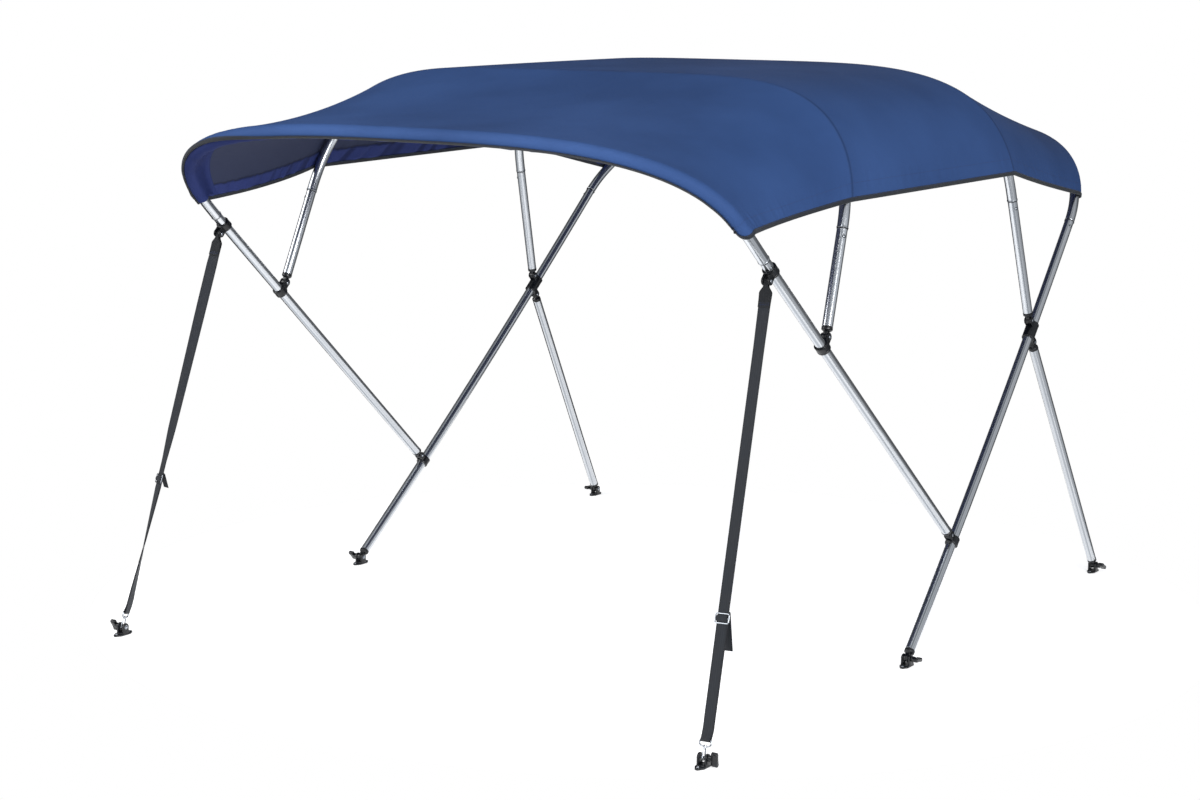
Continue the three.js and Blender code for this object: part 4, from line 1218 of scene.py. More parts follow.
    def puckers(self) -> Array:
        """Height of the gathers: waves along each rim, strongest at the hem's stitch line.

        Returns:
            Heights, rows x columns.
        """
        run, reach = self.run[:, None], self.reach
        band = bell(reach, 0.8 * self.hem, self.pucker_width) * smooth_step(reach, -6, 18)
        waves = self.side_waves(self.rim_waves, SEED)
        slow = 0.45 + 0.55 * np.abs(self.side_waves(self.rim_swells, SEED + 2))
        gathers = self.gathers() * self.pucker * self.gather_share
        side = band * waves * slow * self.pucker + gathers
        across = ripple(self.across[None, :], self.front_waves, SEED + 4)
        front = bell(run, self.front_hem, self.front_width) * across
        front = front * self.front_share * self.pucker * smooth_step(reach, 10, 40)
        (middle, width), (by_run, by_reach) = self.corner_run, self.corner_slant
        corner = np.exp(-(reach / self.corner_reach) ** 2 - ((run - middle) / width) ** 2)
        slanted = ripple(run * by_run - reach * by_reach, self.corner_waves, SEED + 5)
        return side + front + corner * slanted * self.corner_folds

    def gathers(self) -> Array:
        """Slanted folds of the hem, from about -1 to 1; they fade at the rim and past the hem."""
        past = smooth_step(self.reach, self.hem - 5, self.hem + 12)
        zone = smooth_step(self.reach, 3, 14) * (1 - past)
        return zone * self.side_waves(self.gather_waves, SEED + 10, self.gather_slant)

    def seam_ridge(self) -> tuple[Array, Array]:
        """Rise of the folded seams over bows b and c, and the painted shade in their creases.

        Returns:
            Heights and painted shade marks of the seams' creases, rows x columns; both fade towards
            the crown.
        """
        away = np.min(np.abs(self.run[:, None] - self.run[self.seam_rows[:2]]), 1)[:, None]
        low = 1 - smooth_step(self.reach, self.seam_full, self.seam_gone)
        rise = self.seam_rise * (1 - smooth_step(away, 4.5, 7.5)) * low
        return rise, self.painted_crease_strength * bell(away, 0, self.crease_width) * low

    def build(self) -> None:
        """Builds every piece of the cloth."""
        self.build_panels()
        self.build_binding()
        self.build_sleeve()
        self.build_stitching()

    def build_panels(self) -> None:
        """Each panel is a closed sheet: the grid moved out and in, with the hem's fold inside."""
        relief, painted_shade = self.seam_ridge()
        gathers = self.gathers()
        edge = self.hem + self.hem_waver * ripple(self.run, self.hem_waves, SEED + 8)[:, None]
        fold = self.hem_fold * (1 - smooth_step(self.reach, edge - 2, edge + 2))
        fold = fold + self.hem_folds * np.maximum(gathers, -0.1)
        self.face = self.grid + self.normal * (self.thick / 2 + relief)[..., None]
        self.back = self.grid - self.normal * (self.thick / 2 + fold)[..., None]
        uv = joined(self.across[None], self.run[:, None])
        hem = 1 - smooth_step(self.reach, edge - 1.5, edge + 1.5)
        # Painted shadow along the hem's edge on the underside, and painted shade in the dips of the
        # gathers; both darken the inner face through its blue mark.
        uneven = 0.9 + 0.1 * ripple(self.run, self.shadow_waves, SEED + 9)[:, None]
        shadow = bell(self.reach - edge, 1.0, self.shadow_width) * uneven
        gather_shade = np.clip(-1.5 * gathers, 0, 0.9)
        # The blue mark of the outer face is the painted shade in the seams' creases.
        marks = np.stack([0 * hem, hem, painted_shade], -1)
        under = np.stack([0 * hem + 1, hem, np.maximum(shadow, gather_shade)], -1)
        starts = [0] + self.seam_rows[:2]
        ends = self.seam_rows[:2] + [len(self.run) - 1]
        for name, start, end in zip(self.names, starts, ends):
            rows = slice(start, end + 1)
            shape = Shape()
            shape.shell(self.face[rows], self.back[rows], uv[rows], marks[rows], under[rows])
            panel = shape.build_node(name, self.palette.cloth)

    def rim(self) -> tuple[Array, Array, Array]:
        """The rim of the cloth once round, evenly spaced.

        Returns:
            Points, outward normals and inward directions.
        """
        points, outs = border(self.grid), border(self.normal)
        points, outs = (np.concatenate([rows, rows[:1]]) for rows in (points, outs))
        places = runs(points)
        count = int(places[-1] / self.binding_pitch)
        even = np.linspace(0, places[-1], count, endpoint=False)
        points, outs = read(even, places, points), read(even, places, outs)
        along = headings(points, 2)
        outs = square_to(outs, along)
        return points, outs, np.cross(outs, along)

    def build_binding(self) -> None:
        """Folded tape: a U section, round at its fold, carried once round the rim."""
        points, outs, inward = self.rim()
        gap, w, t = self.binding_gap, self.binding_width, self.binding_thick
        top = self.thick / 2 + gap
        low = -self.thick / 2 - self.hem_fold - gap
        middle, half = (top + low) / 2, (top - low) / 2
        fold = circle(np.radians(np.linspace(90, 270, 9)))
        outer = fold * [gap + t + 0.6, half + t] + [0, middle]
        inner = fold[::-1] * [gap + 0.3, half] + [0, middle]
        above = [(w, top + 0.1), (w + 0.15, top + t * 0.6), (w - 0.5, top + t),
                 (w / 2, top + t + 0.12)]
        below = [(w / 2, low - t - 0.12), (w - 0.5, low - t), (w + 0.15, low - t * 0.6),
                 (w, low - 0.1)]
        section = np.concatenate([above, outer, below, inner])
        distance = np.arange(len(points)) * self.binding_pitch
        uv = joined(runs(section)[None], distance[:, None])
        shape = Shape()
        shape.sweep(points, inward, outs, section, uv, closed=True)
        tape = shape.build_node("edge_binding", self.palette.binding, sharp=50)
        self.rim_lines = [np.concatenate([rows, rows[:1]]) for rows in (points, outs, inward)]

    def build_sleeve(self) -> None:
        """Strip under the front bow: round the tube's underside, then straight to its seam."""
        seam_run = self.run[self.wrap_rows - 1] + self.sleeve_seam
        row = int(np.argmin(np.abs(self.run - seam_run)))
        keep = np.flatnonzero(self.reach[0] > self.sleeve_trim)
        share = self.column_shares()[keep]
        centre, aft, out = self.frame_at(0, share)
        start = self.front.angle(share) - math.radians(self.sleeve_tuck)
        end = math.radians(self.sleeve_end)
        lines = []
        for part, radius in self.sleeve_ring:
            angle = (start + (end - start) * part)[:, None]
            lines.append(centre + (out * np.cos(angle) - aft * np.sin(angle)) * radius)
        for before, gap in self.sleeve_ease:
            at, depth = row - before, self.thick / 2 + self.hem_fold + gap
            lines.append(self.grid[at, keep] - self.normal[at, keep] * depth)
        rows = smooth_line(np.stack(lines), self.sleeve_rows)
        normal = -self.normals(rows)
        side = np.broadcast_to(np.linspace(0, 1, len(rows))[:, None], rows.shape[:2])
        across = np.broadcast_to(self.across[keep], rows.shape[:2])
        short, long = self.sleeve_waves
        wave = ripple(across, short, SEED + 6)
        wave = wave + 0.6 * ripple(across + 160 * side, long, SEED + 7)
        lift = 0.5 * (1 + wave) * np.sin(np.pi * side) ** 0.9 * self.sleeve_lift
        lift = lift + 0.4 * bell(side, 0.93, 0.05)
        inner = rows + normal * lift[..., None]
        outer = inner + normal * self.sleeve_thick
        blank = np.zeros(rows.shape)
        shape = Shape()
        shape.shell(outer, inner, np.stack([across, side * 110], -1), blank, blank)
        sleeve = shape.build_node("front_bow_sleeve", self.palette.sleeve)
        self.sleeve_line = (outer[-3], normal[-3])

    def thread(self, shape: Shape, line: Array, normals: Array) -> None:
        """Adds stitches along a line.

        Args:
            shape: where they are added.
            line: points of the stitch line.
            normals: outward direction at each.
        """
        track = Track(line)
        start = np.arange(self.stitch_pitch, track.length - self.stitch_pitch, self.stitch_pitch)
        end = start + self.stitch_pitch * self.stitch_share
        ends = np.stack([track.at(start)[0], track.at(end)[0]], 1)
        outward = unit(read(start, track.lengths, normals))
        shape.stitches(ends, outward, self.thread_width, self.thread_rise)

    def build_stitching(self) -> None:
        """Thread lines: along the binding, the hems inside and out, both seams, the sleeve."""
        points, outs, inward = self.rim_lines
        line = points + inward * (self.binding_width - 1.8)
        cover = self.thick / 2 + self.binding_gap + self.binding_thick
        lines = [(line + outs * (cover + 0.02), outs),
                 (line - outs * (cover + self.hem_fold + 0.02), -outs)]
        column = int(np.argmin(np.abs(self.half_reach - (self.hem - 4))))
        rows, columns = slice(3, -3), slice(4, -4)
        for at in (column, -1 - column):
            lines.append((self.face[rows, at], self.normal[rows, at]))
            lines.append((self.back[rows, at], -self.normal[rows, at]))
        for seam in self.seam_rows[:2]:
            for at in (seam - 1, seam + 1):
                lines.append((self.face[at, columns], self.normal[at, columns]))
        lines.append(tuple(rows[4:-4] for rows in self.sleeve_line))
        shape = Shape()
        for line, normals in lines:
            self.thread(shape, line, normals)
        shape.build("seam_stitching", self.palette.thread, sharp=60)


# ---------------------------------------------------------------- tubes


@dataclass
class Tubes:
    """Bows and legs: drawn tubes, a lip where each bow slips over its leg, and spring buttons."""

    layout: Layout
    palette: Palette
    leg_radius: float = 12.7
    bow_radius: float = 13.3
    lip: float = 1.0
    ring_length: float = 2.4
    sides: int = 32
    bow_rings: int = 300
    leg_rings: int = 60
    eye_reach: float = 24
    joint_gap: float = 0.05
    button_below: float = 21
    button_radius: float = 3.4
    button_sides: int = 20
    button_aim: tuple[float, float] = (0.85, -0.5)
    button_sunk: float = 1.2
    dome_rise: float = 1.9

    def build(self) -> None:
        """Builds the bows, both sides' legs and the buttons."""
        self.buttons, self.rings_and_hole_shade = Shape(), Shape()
        for bow in BOWS:
            self.build_bow(bow)
        for side in Side:
            self.build_legs(side)
        self.buttons.build("spring_buttons", self.palette.steel)
        self.rings_and_hole_shade.build("joint_rings_and_hole_shade", self.palette.nylon)

    def tube(self, name: str, track: Track, profile: Array, reference: Array) -> None:
        """A tube of the frame that stands for the node of its name."""
        shape = Shape()
        shape.turned(track, profile, reference, self.sides)
        shape.build_node(name, self.palette.tube)

    def build_bow(self, bow: Bow) -> None:
        """A bow from joint to joint: rolled lips at both ends, cut square behind them."""
        track = self.layout.bow_track(bow, 0.0, 0.0)
        r, end = self.bow_radius, track.length
        lip = np.array([(0.15, 0), (0.15, r - 0.4), (0.3, r + 0.6), (0.9, r + self.lip),
                        (2.0, r + self.lip - 0.1), (2.7, r + 0.12), (3.4, r)])
        body = joined(np.linspace(6, end - 6, self.bow_rings), r)
        profile = np.concatenate([lip, body, (lip * [-1, 1] + [end, 0])[::-1]])
        self.tube(f"bow_{bow.name}", track, profile, Y_AXIS)

    def leg(self, name: str, track: Track, end: float) -> None:
        """A leg's tube up to a distance on its line, its ends closed just inside its fittings."""
        r, start = self.leg_radius, self.eye_reach
        body = joined(np.linspace(start + 2, end - 2, self.leg_rings), r)
        profile = np.concatenate([[(start, 0), (start, r - 0.5), (start + 0.5, r)], body,
                                  [(end - 0.5, r), (end, r - 0.5), (end, 0)]])
        self.tube(name, track, profile, X_AXIS)

    def build_legs(self, side: Side) -> None:
        """Straight legs a, b, c and brace e, and the sagging main leg d, with their buttons."""
        lay = self.layout
        for bow in BOWS[:3]:
            pivot = lay.pivots[bow.name][0]
            track = Track(lay.point(side, np.stack([pivot, bow.joint])))
            self.leg(f"leg_{bow.name}_{side.word}", track, track.length - self.joint_gap)
            self.button(side, track)
        brace = Track(lay.point(side, np.stack([lay.rear_foot, lay.pivots["e"][0]])))
        self.leg(f"brace_e_{side.word}", brace, brace.length - self.eye_reach)
        main = Track(lay.point(side, lay.main_leg(np.linspace(0, 1, 80))))
        self.leg(f"leg_d_{side.word}", main, main.length - self.joint_gap)
        self.button(side, main)

    def button(self, side: Side, track: Track) -> None:
        """Domed button on a leg's outer flank, a dark ring round it as painted shade of its hole,
        and the ring under the joint.
        """
        end, r = track.length, self.leg_radius
        low = end - self.ring_length
        ring = [(low, r - 0.1), (low, r + 0.5), (low + 0.4, r + 0.9), (end + 0.1, r + 0.9),
                (end + 0.1, r - 0.1)]
        self.rings_and_hole_shade.turned(track, ring, X_AXIS, self.sides, closed=True)
        point, along = track.at(np.array([end - self.button_below]))
        outward = self.layout.outward(side)
        ahead, aside = self.button_aim
        out = unit(outward * ahead + unit(np.cross(along[0], outward)) * aside * side.value)
        seat = point[0] + out * (r - self.button_sunk)
        r = self.button_radius
        angle = np.radians([0, 25, 50, 75, 90])
        dome = np.stack([1.0 + self.dome_rise * np.sin(angle), r * np.cos(angle)], -1)
        dome = np.concatenate([[(0, 0), (0, r)], dome])
        # Painted shade: a dark nylon ring round the button stands in for the shade inside its hole.
        ring = [(0.2, r + 0.1), (1.28, r + 0.1), (1.34, r + 0.7), (1.1, r + 1.0), (0.2, r + 1.0)]
        self.buttons.rod(seat, seat + out, dome, self.button_sides)
        self.rings_and_hole_shade.rod(seat, seat + out, ring, self.button_sides, closed=True)


# ---------------------------------------------------------------- fittings


@dataclass
class Fittings:
    """Eye ends, jaw sliders and their screws on both side frames."""

    layout: Layout
    palette: Palette
    eye_radius: float = 9.5
    eye_thick: float = 11.2
    eye_edge: float = 1.6
    neck: float = 14
    collar_start: float = 16
    collar_end: float = 23.8
    collar_radius: float = 13.15
    groove: float = 0.45
    sleeve_outer: float = 17
    sleeve_bore: float = 13.3
    sleeve_length: float = 22
    sleeve_edge: float = 1.5
    sleeve_band: float = 4.5
    ear_thick: float = 4
    ear_gap: float = 12.2
    ear_radius: float = 10
    ear_foot: float = 12.6
    ear_edge: float = 1.1
    boss: Pairs = ((0, 0), (0, 6.4), (1.1, 6.2), (1.5, 5.6), (1.5, 0))
    pan_head: Pairs = ((-2, 0), (-2, 3.3), (0, 4.1), (0.3, 4.3), (0.9, 4.2), (1.5, 3.6),
                       (1.8, 2.6), (1.8, 2.1), (0.7, 1.9), (0.6, 0))

    def build(self) -> None:
        """Builds both sides' fittings, with all screws as one piece."""
        self.screws = Shape()
        lay = self.layout
        pivot = {name: at for name, (at, _) in lay.pivots.items()}
        for side in Side:
            for bow in BOWS[:3]:
                self.eye_end(bow.name, side, pivot[bow.name], bow.joint)
            self.eye_end("e_top", side, pivot["e"], lay.rear_foot)
            self.eye_end("e_foot", side, lay.rear_foot, pivot["e"])
            self.eye_end("d", side, lay.main_foot, lay.main_leg(0.1))
            for name in ("a", "b", "c_e", "strap"):
                legs = name.split("_")
                self.slider(name, side, lay.hosts[name], [lay.pivots[leg] for leg in legs])
        self.screws.build("slider_screws", self.palette.steel)

    def eye_end(self, name: str, side: Side, pivot: Array, towards: Array) -> None:
        """A moulded cap: a flat rounded eye, a cone behind it and a collar with a shallow groove.

        Args:
            name: its name within the nodes' names.
            side: the side frame.
            pivot: middle of the eye, as y and z.
            towards: a point the leg goes to, as y and z.
        """
        lay = self.layout
        origin = lay.point(side, pivot)
        place = Placement(origin, lay.point(side, towards) - origin, lay.outward(side))
        shape = Shape()
        eye = tongue(self.eye_radius, self.neck / 2, self.collar_start + 1)
        shape.plate(eye, self.eye_thick, self.eye_edge, place, np.zeros(3))
        r, a, b, low = self.collar_radius, self.collar_start, self.collar_end, self.groove
        cone = [(9.5, 0), (9.5, 5.2), (12, 7.6), (a - 0.8, r - 1.2), (a + 0.4, r - 0.25)]
        collar = [(a + 1.4, r), (b - 3.4, r), (b - 3.0, r - low), (b - 2.4, r - low),
                  (b - 2.0, r), (b - 0.5, r), (b, r - 0.5), (b, 0)]
        shape.rod(origin, place.put(Z_AXIS), cone + collar, 32)
        shape.build_node(f"eye_end_{name}_{side.word}", self.palette.nylon)

    def slider(self, name: str, side: Side, host: Array, pairs: list[tuple[Array, Array]]) -> None:
        """A jaw slider: a sleeve round the tube, and for each pivot two ears and a screw.

        Args:
            name: its name within the node's name.
            side: the side frame.
            host: direction of the tube it sits on.
            pairs: pivot and seat of each leg it carries.
        """
        lay = self.layout
        seats = [lay.point(side, seat) for _, seat in pairs]
        along = np.array([-side.value * lay.lean * host[1], host[0], host[1]])
        place = Placement(np.mean(seats, 0), along, lay.outward(side))
        spots = [(float(place.local(lay.point(side, pivot))[1]), float(place.local(seat)[2]))
                 for (pivot, _), seat in zip(pairs, seats)]
        half = self.sleeve_length / 2 + max(abs(z) for _, z in spots)
        r, bore, e, band = self.sleeve_outer, self.sleeve_bore, self.sleeve_edge, self.sleeve_band
        left = np.array([(-half, bore), (-half, r - e), (-half + 0.4, r - 0.5), (-half + e, r),
                         (-half + band, r), (-half + band + 0.5, r - 0.4)])
        ring = np.concatenate([left, (left * [-1, 1])[::-1]])
        shape = Shape()
        shape.rod(place.origin, place.put(Z_AXIS), ring, 36, closed=True)
        for offset, z in spots:
            self.ears(shape, place, offset, z)
        shape.build_node(f"slider_{name}_{side.word}", self.palette.nylon)

    def ears(self, shape: Shape, place: Placement, offset: float, z: float) -> None:
        """Two ears from the sleeve to a pivot, with a boss and a screw on each.

        Args:
            shape: where they are added.
            place: frame of the slider.
            offset: y of the pivot in that frame.
            z: its z there.
        """
        outline = tongue(self.ear_radius, self.ear_radius - 0.6, self.ear_foot - abs(offset))
        across = math.copysign(1.0, offset) * outline[:, 1]
        turned = anticlockwise(np.stack([across, outline[:, 0]], -1) + [offset, z])
        middle = (self.ear_gap + self.ear_thick) / 2
        outer = self.ear_gap / 2 + self.ear_thick
        for hand in (-1, 1):
            shift = np.array([hand * middle, 0, 0])
            shape.plate(turned, self.ear_thick, self.ear_edge, place, shift)
            foot, face, seat = (place.put(np.array([hand * (outer + step), offset, z]))
                                for step in (-1, 0, 0.4))
            shape.rod(foot, face, self.boss, 26)
            self.screws.rod(seat, seat + unit(face - foot), self.pan_head, 24)


# ---------------------------------------------------------------- deck hinges


@dataclass
class DeckHinges:
    """Six deck hinges with their mounting screws, and the paddle thumb screws that turn in them."""

    layout: Layout
    palette: Palette
    length: float = 60
    width: float = 24
    thick: float = 5
    edge: float = 1.2
    shoulder: float = 14
    tip: float = 6.5
    tip_from: float = 0.35
    pad_thick: float = 3.0
    pad_share: tuple[float, float] = (0.5, 0.86)
    screw_at: float = 22.5
    lug_gap: float = 14.6
    lug_thick: float = 4.6
    lug_radius: float = 10
    blade_half: float = 16.5
    blade_waist: float = 4.7
    blade_end: float = 5.5
    blade_at: float = 27.75
    blade_deep: float = 14.5
    deck_head: Pairs = ((-3, 0), (-3, 2.2), (0, 3.9), (0.3, 4.2), (0.9, 4.0), (1.5, 3.2),
                        (1.75, 1.9), (0.9, 1.1), (0.8, 0))
    shank: Pairs = ((-15.4, 0), (-15.4, 2.2), (-14.6, 3), (14, 3), (14, 0))
    nut: Pairs = ((-12.8, 2.9), (-12.8, 5.4), (-12.4, 5.8), (-10.6, 5.8), (-10.2, 5.4),
                  (-10.2, 2.9))
    hub: Pairs = ((12.6, 0), (12.6, 6.2), (13.2, 7), (20.5, 7), (22, 6.4), (22.6, 5), (22.6, 0))
    turns: dict[str, tuple[float, float]] = field(
        default_factory=lambda: {"strap": (6, -28), "main": (82, -45), "rear": (62, -84)})

    def build(self) -> None:
        """Builds the hinges, their screws and the six thumb screws."""
        self.screws = Shape()
        for side in Side:
            for name, bolt in self.layout.bolts(side).items():
                self.hinge(name, side, bolt)
                self.thumb_screw(name, side, bolt)
        self.screws.build("deck_screws", self.palette.steel)

    def base_outline(self) -> Array:
        """Base seen from above: straight flanks that narrow to round tips, anticlockwise."""
        flank, shoulder = self.width / 2, self.length / 2 - self.shoulder
        arc = circle(np.linspace(self.tip_from, np.pi - self.tip_from, 14))
        tip = arc * self.tip + [0, self.length / 2 - self.tip]
        side = joined(flank, np.linspace(-shoulder, shoulder, 7))
        return anticlockwise(np.concatenate([side, tip, -side, -tip])[:, ::-1])

    def hinge(self, name: str, side: Side, bolt: Array) -> None:
        """One hinge: rounded base, a raised pad, two lugs, and two mounting screws.

        Args:
            name: its name within the node's name.
            side: the side frame.
            bolt: middle of its bolt.
        """
        ground = bolt * [1, 1, 0]
        shape = Shape()
        base = self.base_outline()
        flat = Placement(ground, X_AXIS * side.value, Z_AXIS)
        shape.plate(base, self.thick, self.edge, flat, np.array([self.thick / 2, 0, 0]))
        pad = base * self.pad_share
        shape.plate(pad, self.pad_thick, 1.0, flat, np.array([self.thick + 0.4, 0, 0]))
        upright = Placement(bolt, Z_AXIS, X_AXIS * side.value)
        foot = self.thick - 1 - self.layout.bolt_height
        lug = tongue(self.lug_radius, self.lug_radius - 0.3, foot)
        for hand in (-1, 1):
            middle = hand * (self.lug_gap + self.lug_thick) / 2
            shape.plate(lug, self.lug_thick, self.edge, upright, np.array([middle, 0, 0]))
            seat = ground + np.array([0, hand * self.screw_at, self.thick])
            self.screws.rod(seat, seat + Z_AXIS, self.deck_head, 22)
        shape.build_node(f"deck_hinge_{name}_{side.word}", self.palette.nylon)

    def thumb_screw(self, name: str, side: Side, bolt: Array) -> None:
        """One thumb screw: a steel shank with its nut, and a hub that carries a waisted paddle.

        Args:
            name: name of its hinge.
            side: the side frame.
            bolt: middle of the bolt.
        """
        body = f"knob_{name}_{side.word}"
        turn = math.radians(self.turns[name][0 if side is Side.RIGHT else 1])
        place = Placement(bolt, Z_AXIS, X_AXIS * side.value, turn)
        out = place.put(X_AXIS)
        steel, knob = Shape(), Shape()
        steel.rod(bolt, out, self.shank, 20)
        steel.rod(bolt, out, self.nut, 6, True)
        steel.build(f"hinge_bolt_{name}_{side.word}", self.palette.steel, body)
        knob.rod(bolt, out, self.hub, 28)
        end, half, waist = self.blade_end, self.blade_half, self.blade_waist
        lobe = circle(np.linspace(0, np.pi, 16)) * end + [0, half - end]
        flank = [(end, -half + end), (waist, -4.0), (waist, 4.0), (end, half - end)]
        flank = smooth_line(np.array(flank), 15)[1:-1]
        outline = np.concatenate([flank, lobe, -flank, -lobe])
        knob.plate(outline, self.blade_deep, 2.2, place, np.array([self.blade_at, 0, 0]))
        knob.build_node(f"thumb_screw_{name}_{side.word}", self.palette.nylon, body)


# ---------------------------------------------------------------- straps


@dataclass(frozen=True)
class StrapSetting:
    """How one strap hangs: buckle place, free tail and its drift, and twist by share of length."""

    buckle_at: float
    tail: float
    drift: float
    shares: tuple[float, ...]
    turns: tuple[float, ...]

    def turn(self, share: Array | float) -> Array:
        """Twist in radians at shares of the length."""
        return np.radians(np.interp(share, self.shares, self.turns))

    def axes(self, share: float) -> tuple[Array, Array]:
        """Directions across the webbing and off its face at a share, in the strap's frame."""
        turn = float(self.turn(np.array(share)))
        c, s = math.cos(turn), math.sin(turn)
        return np.array([c, s, 0]), np.array([-s, c, 0])


@dataclass
class Straps:
    """Both hold-down straps: webbing through its buckle, tri-glide, and wire snap hook."""

    layout: Layout
    palette: Palette
    width: float = 30
    thick: float = 1.5
    face_off: float = 1.6
    round_edge: float = 0.75
    path_points: int = 560
    stations: int = 460
    pinch: float = 10.4
    pinch_end: float = 13
    flare_start: float = 10
    flare_end: float = 27
    loop: float = 58
    seam_rows: Triple = (5, 9, 24)
    hook_width: float = 26
    hook_taper: float = 24
    hook_height: float = 36
    hook_swivel: float = 12
    pin: float = 3
    gap: float = 0.5
    bar: float = 1.8
    wire: float = 1.6
    ring_half: float = 6.5
    loop_half: float = 17.5
    buckle_wide: float = 18.2
    buckle_high: float = 10.4
    buckle_corner: float = 3.2
    buckle_wire: tuple[float, float] = (1.75, 1.2)
    buckle_clear: float = 16
    hook_clear: float = 22
    tail_steps: tuple[float, ...] = (0.1, 0.4, 0.7, 1.0)
    area_share: float = 0.97
    neck: Pairs = ((0, 0), (0, 2.6), (0.8, 3.4), (2.4, 3.4), (2.8, 2.9), (3.4, 2.9), (3.8, 3.5),
                   (6, 3.5), (6.8, 2.6), (6.8, 0))
    settings: dict[Side, StrapSetting] = field(default_factory=lambda: {
        Side.RIGHT: StrapSetting(736, 78, 24, (0.03, 0.14, 1), (180, 173, 170)),
        Side.LEFT: StrapSetting(646, 30, 17, (0.02, 0.08, 0.18, 0.5, 0.58, 0.65, 0.78, 0.93, 1),
                                (0, 12, 11, -9, -25, -25, -44, -70, -70)),
    })

    def build(self) -> None:
        """Builds both straps with their hardware."""
        lay = self.layout
        self.thread = Shape()
        for side in Side:
            bolt = lay.bolts(side)["strap"]
            top = lay.point(side, lay.pivots["strap"][0])
            place = Placement(bolt, top - bolt, lay.outward(side))
            length = float(np.linalg.norm(top - bolt))
            self.strap(side, place, length)
            self.buckle(side, place, length)
            self.hook(side, place)
        self.thread.build("strap_stitching", self.palette.thread, sharp=60)

    def path(self, length: float, setting: StrapSetting) -> Array:
        """The webbing's middle as distance down from the upper pin and height off its plane.

        Args:
            length: distance from the pin to the bolt.
            setting: how this strap hangs.

        Returns:
            The control points, in order along the webbing.
        """
        bar_at = length - self.hook_height
        layer = self.thick + self.gap
        main = -(self.face_off + self.thick / 2)
        back = main - layer
        pin_reach = self.pin + self.gap + self.thick / 2
        bar_reach = self.bar + self.gap + self.thick / 2
        half_turn = circle(np.radians([0, 45, 90, 135, 180]))[:, ::-1]
        b, tail, drift = setting.buckle_at, setting.tail, setting.drift
        above, below = b - self.buckle_clear, b + self.buckle_clear
        run = np.linspace(self.loop, above, 12)[1:-1]
        low = np.linspace(below, bar_at - self.hook_clear, 8)[1:]
        shares = np.array(self.tail_steps)
        bend = self.loop * 0.55
        parts = [
            [(self.loop, main + layer), (bend, main + layer + 1.2),
             (self.pinch_end, pin_reach - 0.4)],
            half_turn * pin_reach * [-1, 1],
            [(self.pinch_end, 0.4 - pin_reach), (bend, main - 1.2), (self.loop, main)],
            joined(run, main),
            [(above, main), (b - 8, main), (b - 3.2, -main), (b + 3.2, -main), (b + 8, main),
             (below, main)],
            joined(low, main),
            half_turn * bar_reach + [bar_at, 0],
            joined(low[::-1], back),
            [(b + 14, back), (b - 12, back), (b - 15, back - 1.6), (b - 12, back - 3.4)],
            np.stack([b - 12 + tail * shares, back - 3.4 - drift * shares], -1),
        ]
        return np.concatenate([np.asarray(part, float) for part in parts])

    def half_width(self, at: Array, length: float) -> Array:
        """Half width of the webbing: pinched at the pin, full below, less at the hook."""
        end = length - self.hook_height
        flare = (self.width - self.pinch) * smooth_step(at, self.flare_start, self.flare_end)
        taper = (self.width - self.hook_width) * smooth_step(at, end - self.hook_taper, end)
        return (self.pinch + flare - taper) / 2

    def section(self) -> tuple[Array, Array, Array]:
        """The webbing's section with round edges, once round.

        Returns:
            Share of the half width, millimetres added to it, and height at each point.
        """
        t = self.thick / 2
        edge = np.radians([60, 20, -20, -60])
        rounding, side = -0.4 + self.round_edge * np.cos(edge), t * np.sin(edge)
        flat = np.array([0.8, 0.45, 0.0, -0.45, -0.8])
        wide = np.concatenate([flat[::-1], np.ones(4), flat, -np.ones(4)])
        own = np.concatenate([0 * flat, rounding, 0 * flat, -rounding])
        high = np.concatenate([0 * flat + t, side, 0 * flat - t, side[::-1]])
        return wide, own, high

    def strap(self, side: Side, place: Placement, length: float) -> None:
        """The webbing: its section swept along its path and twisted about the strap's line.

        Args:
            side: the side frame.
            place: the strap's frame, from the bolt up.
            length: distance from the pin to the bolt.
        """
        setting = self.settings[side]
        path = smooth_line(self.path(length, setting), self.path_points)
        track = Track(np.concatenate([path, np.zeros((len(path), 1))], 1))
        stations = np.linspace(0, track.length, self.stations)
        spot, along = track.at(stations)
        turn = setting.turn(spot[:, 0] / length)
        across = np.stack([np.cos(turn), np.sin(turn), 0 * turn], -1)
        off = np.stack([-np.sin(turn), np.cos(turn), 0 * turn], -1)
        points = off * spot[:, 1:2] + Z_AXIS * (length - spot[:, :1])
        face = off * along[:, :1] + Z_AXIS * along[:, 1:2]
        wide, own, high = self.section()
        x = wide[None] * self.half_width(spot[:, 0], length)[:, None] + own[None]
        uv = joined(wide[None] * self.width / 2, stations[:, None])
        # Painted shade marks: the loop round the pin and the webbing's edges are painted darker.
        looped = 1 - smooth_step(spot[:, 0], self.loop - 1, self.loop + 1)
        edges = smooth_step(np.abs(wide), 0.75, 0.95)
        marks = joined(looped[:, None], edges[None], 0 * x)
        axes = place.axes()
        shape = Shape()
        shape.sweep(place.put(points), across @ axes, face @ axes, joined(x, high), uv,
                    marks=marks)
        band = shape.build_node(f"strap_{side.word}", self.palette.webbing, sharp=60)
        self.box_seam(place, length, setting)

    def box_seam(self, place: Placement, length: float, setting: StrapSetting) -> None:
        """Thread of the loop's seam under the pin: rows across both layers of webbing.

        Args:
            place: the strap's frame.
            length: distance from the pin to the bolt.
            setting: how this strap hangs.
        """
        main = -(self.face_off + self.thick / 2)
        front, back = main + self.thick * 1.5 + self.gap, main - self.thick / 2
        for at in (self.loop - step for step in self.seam_rows):
            half = float(self.half_width(np.array(at), length)) - 2
            across, off = setting.axes(at / length)
            for height, sign in ((front, 1), (back, -1)):
                row = np.linspace(-half, half, 9)[:, None] * across
                row = row + off * height + Z_AXIS * (length - at)
                pairs = np.stack([row[:-1], row[1:] - across * 0.8], 1)
                normals = np.broadcast_to(off * sign @ place.axes(), (len(pairs), 3))
                self.thread.stitches(place.put(pairs), normals, 0.8, 0.3)

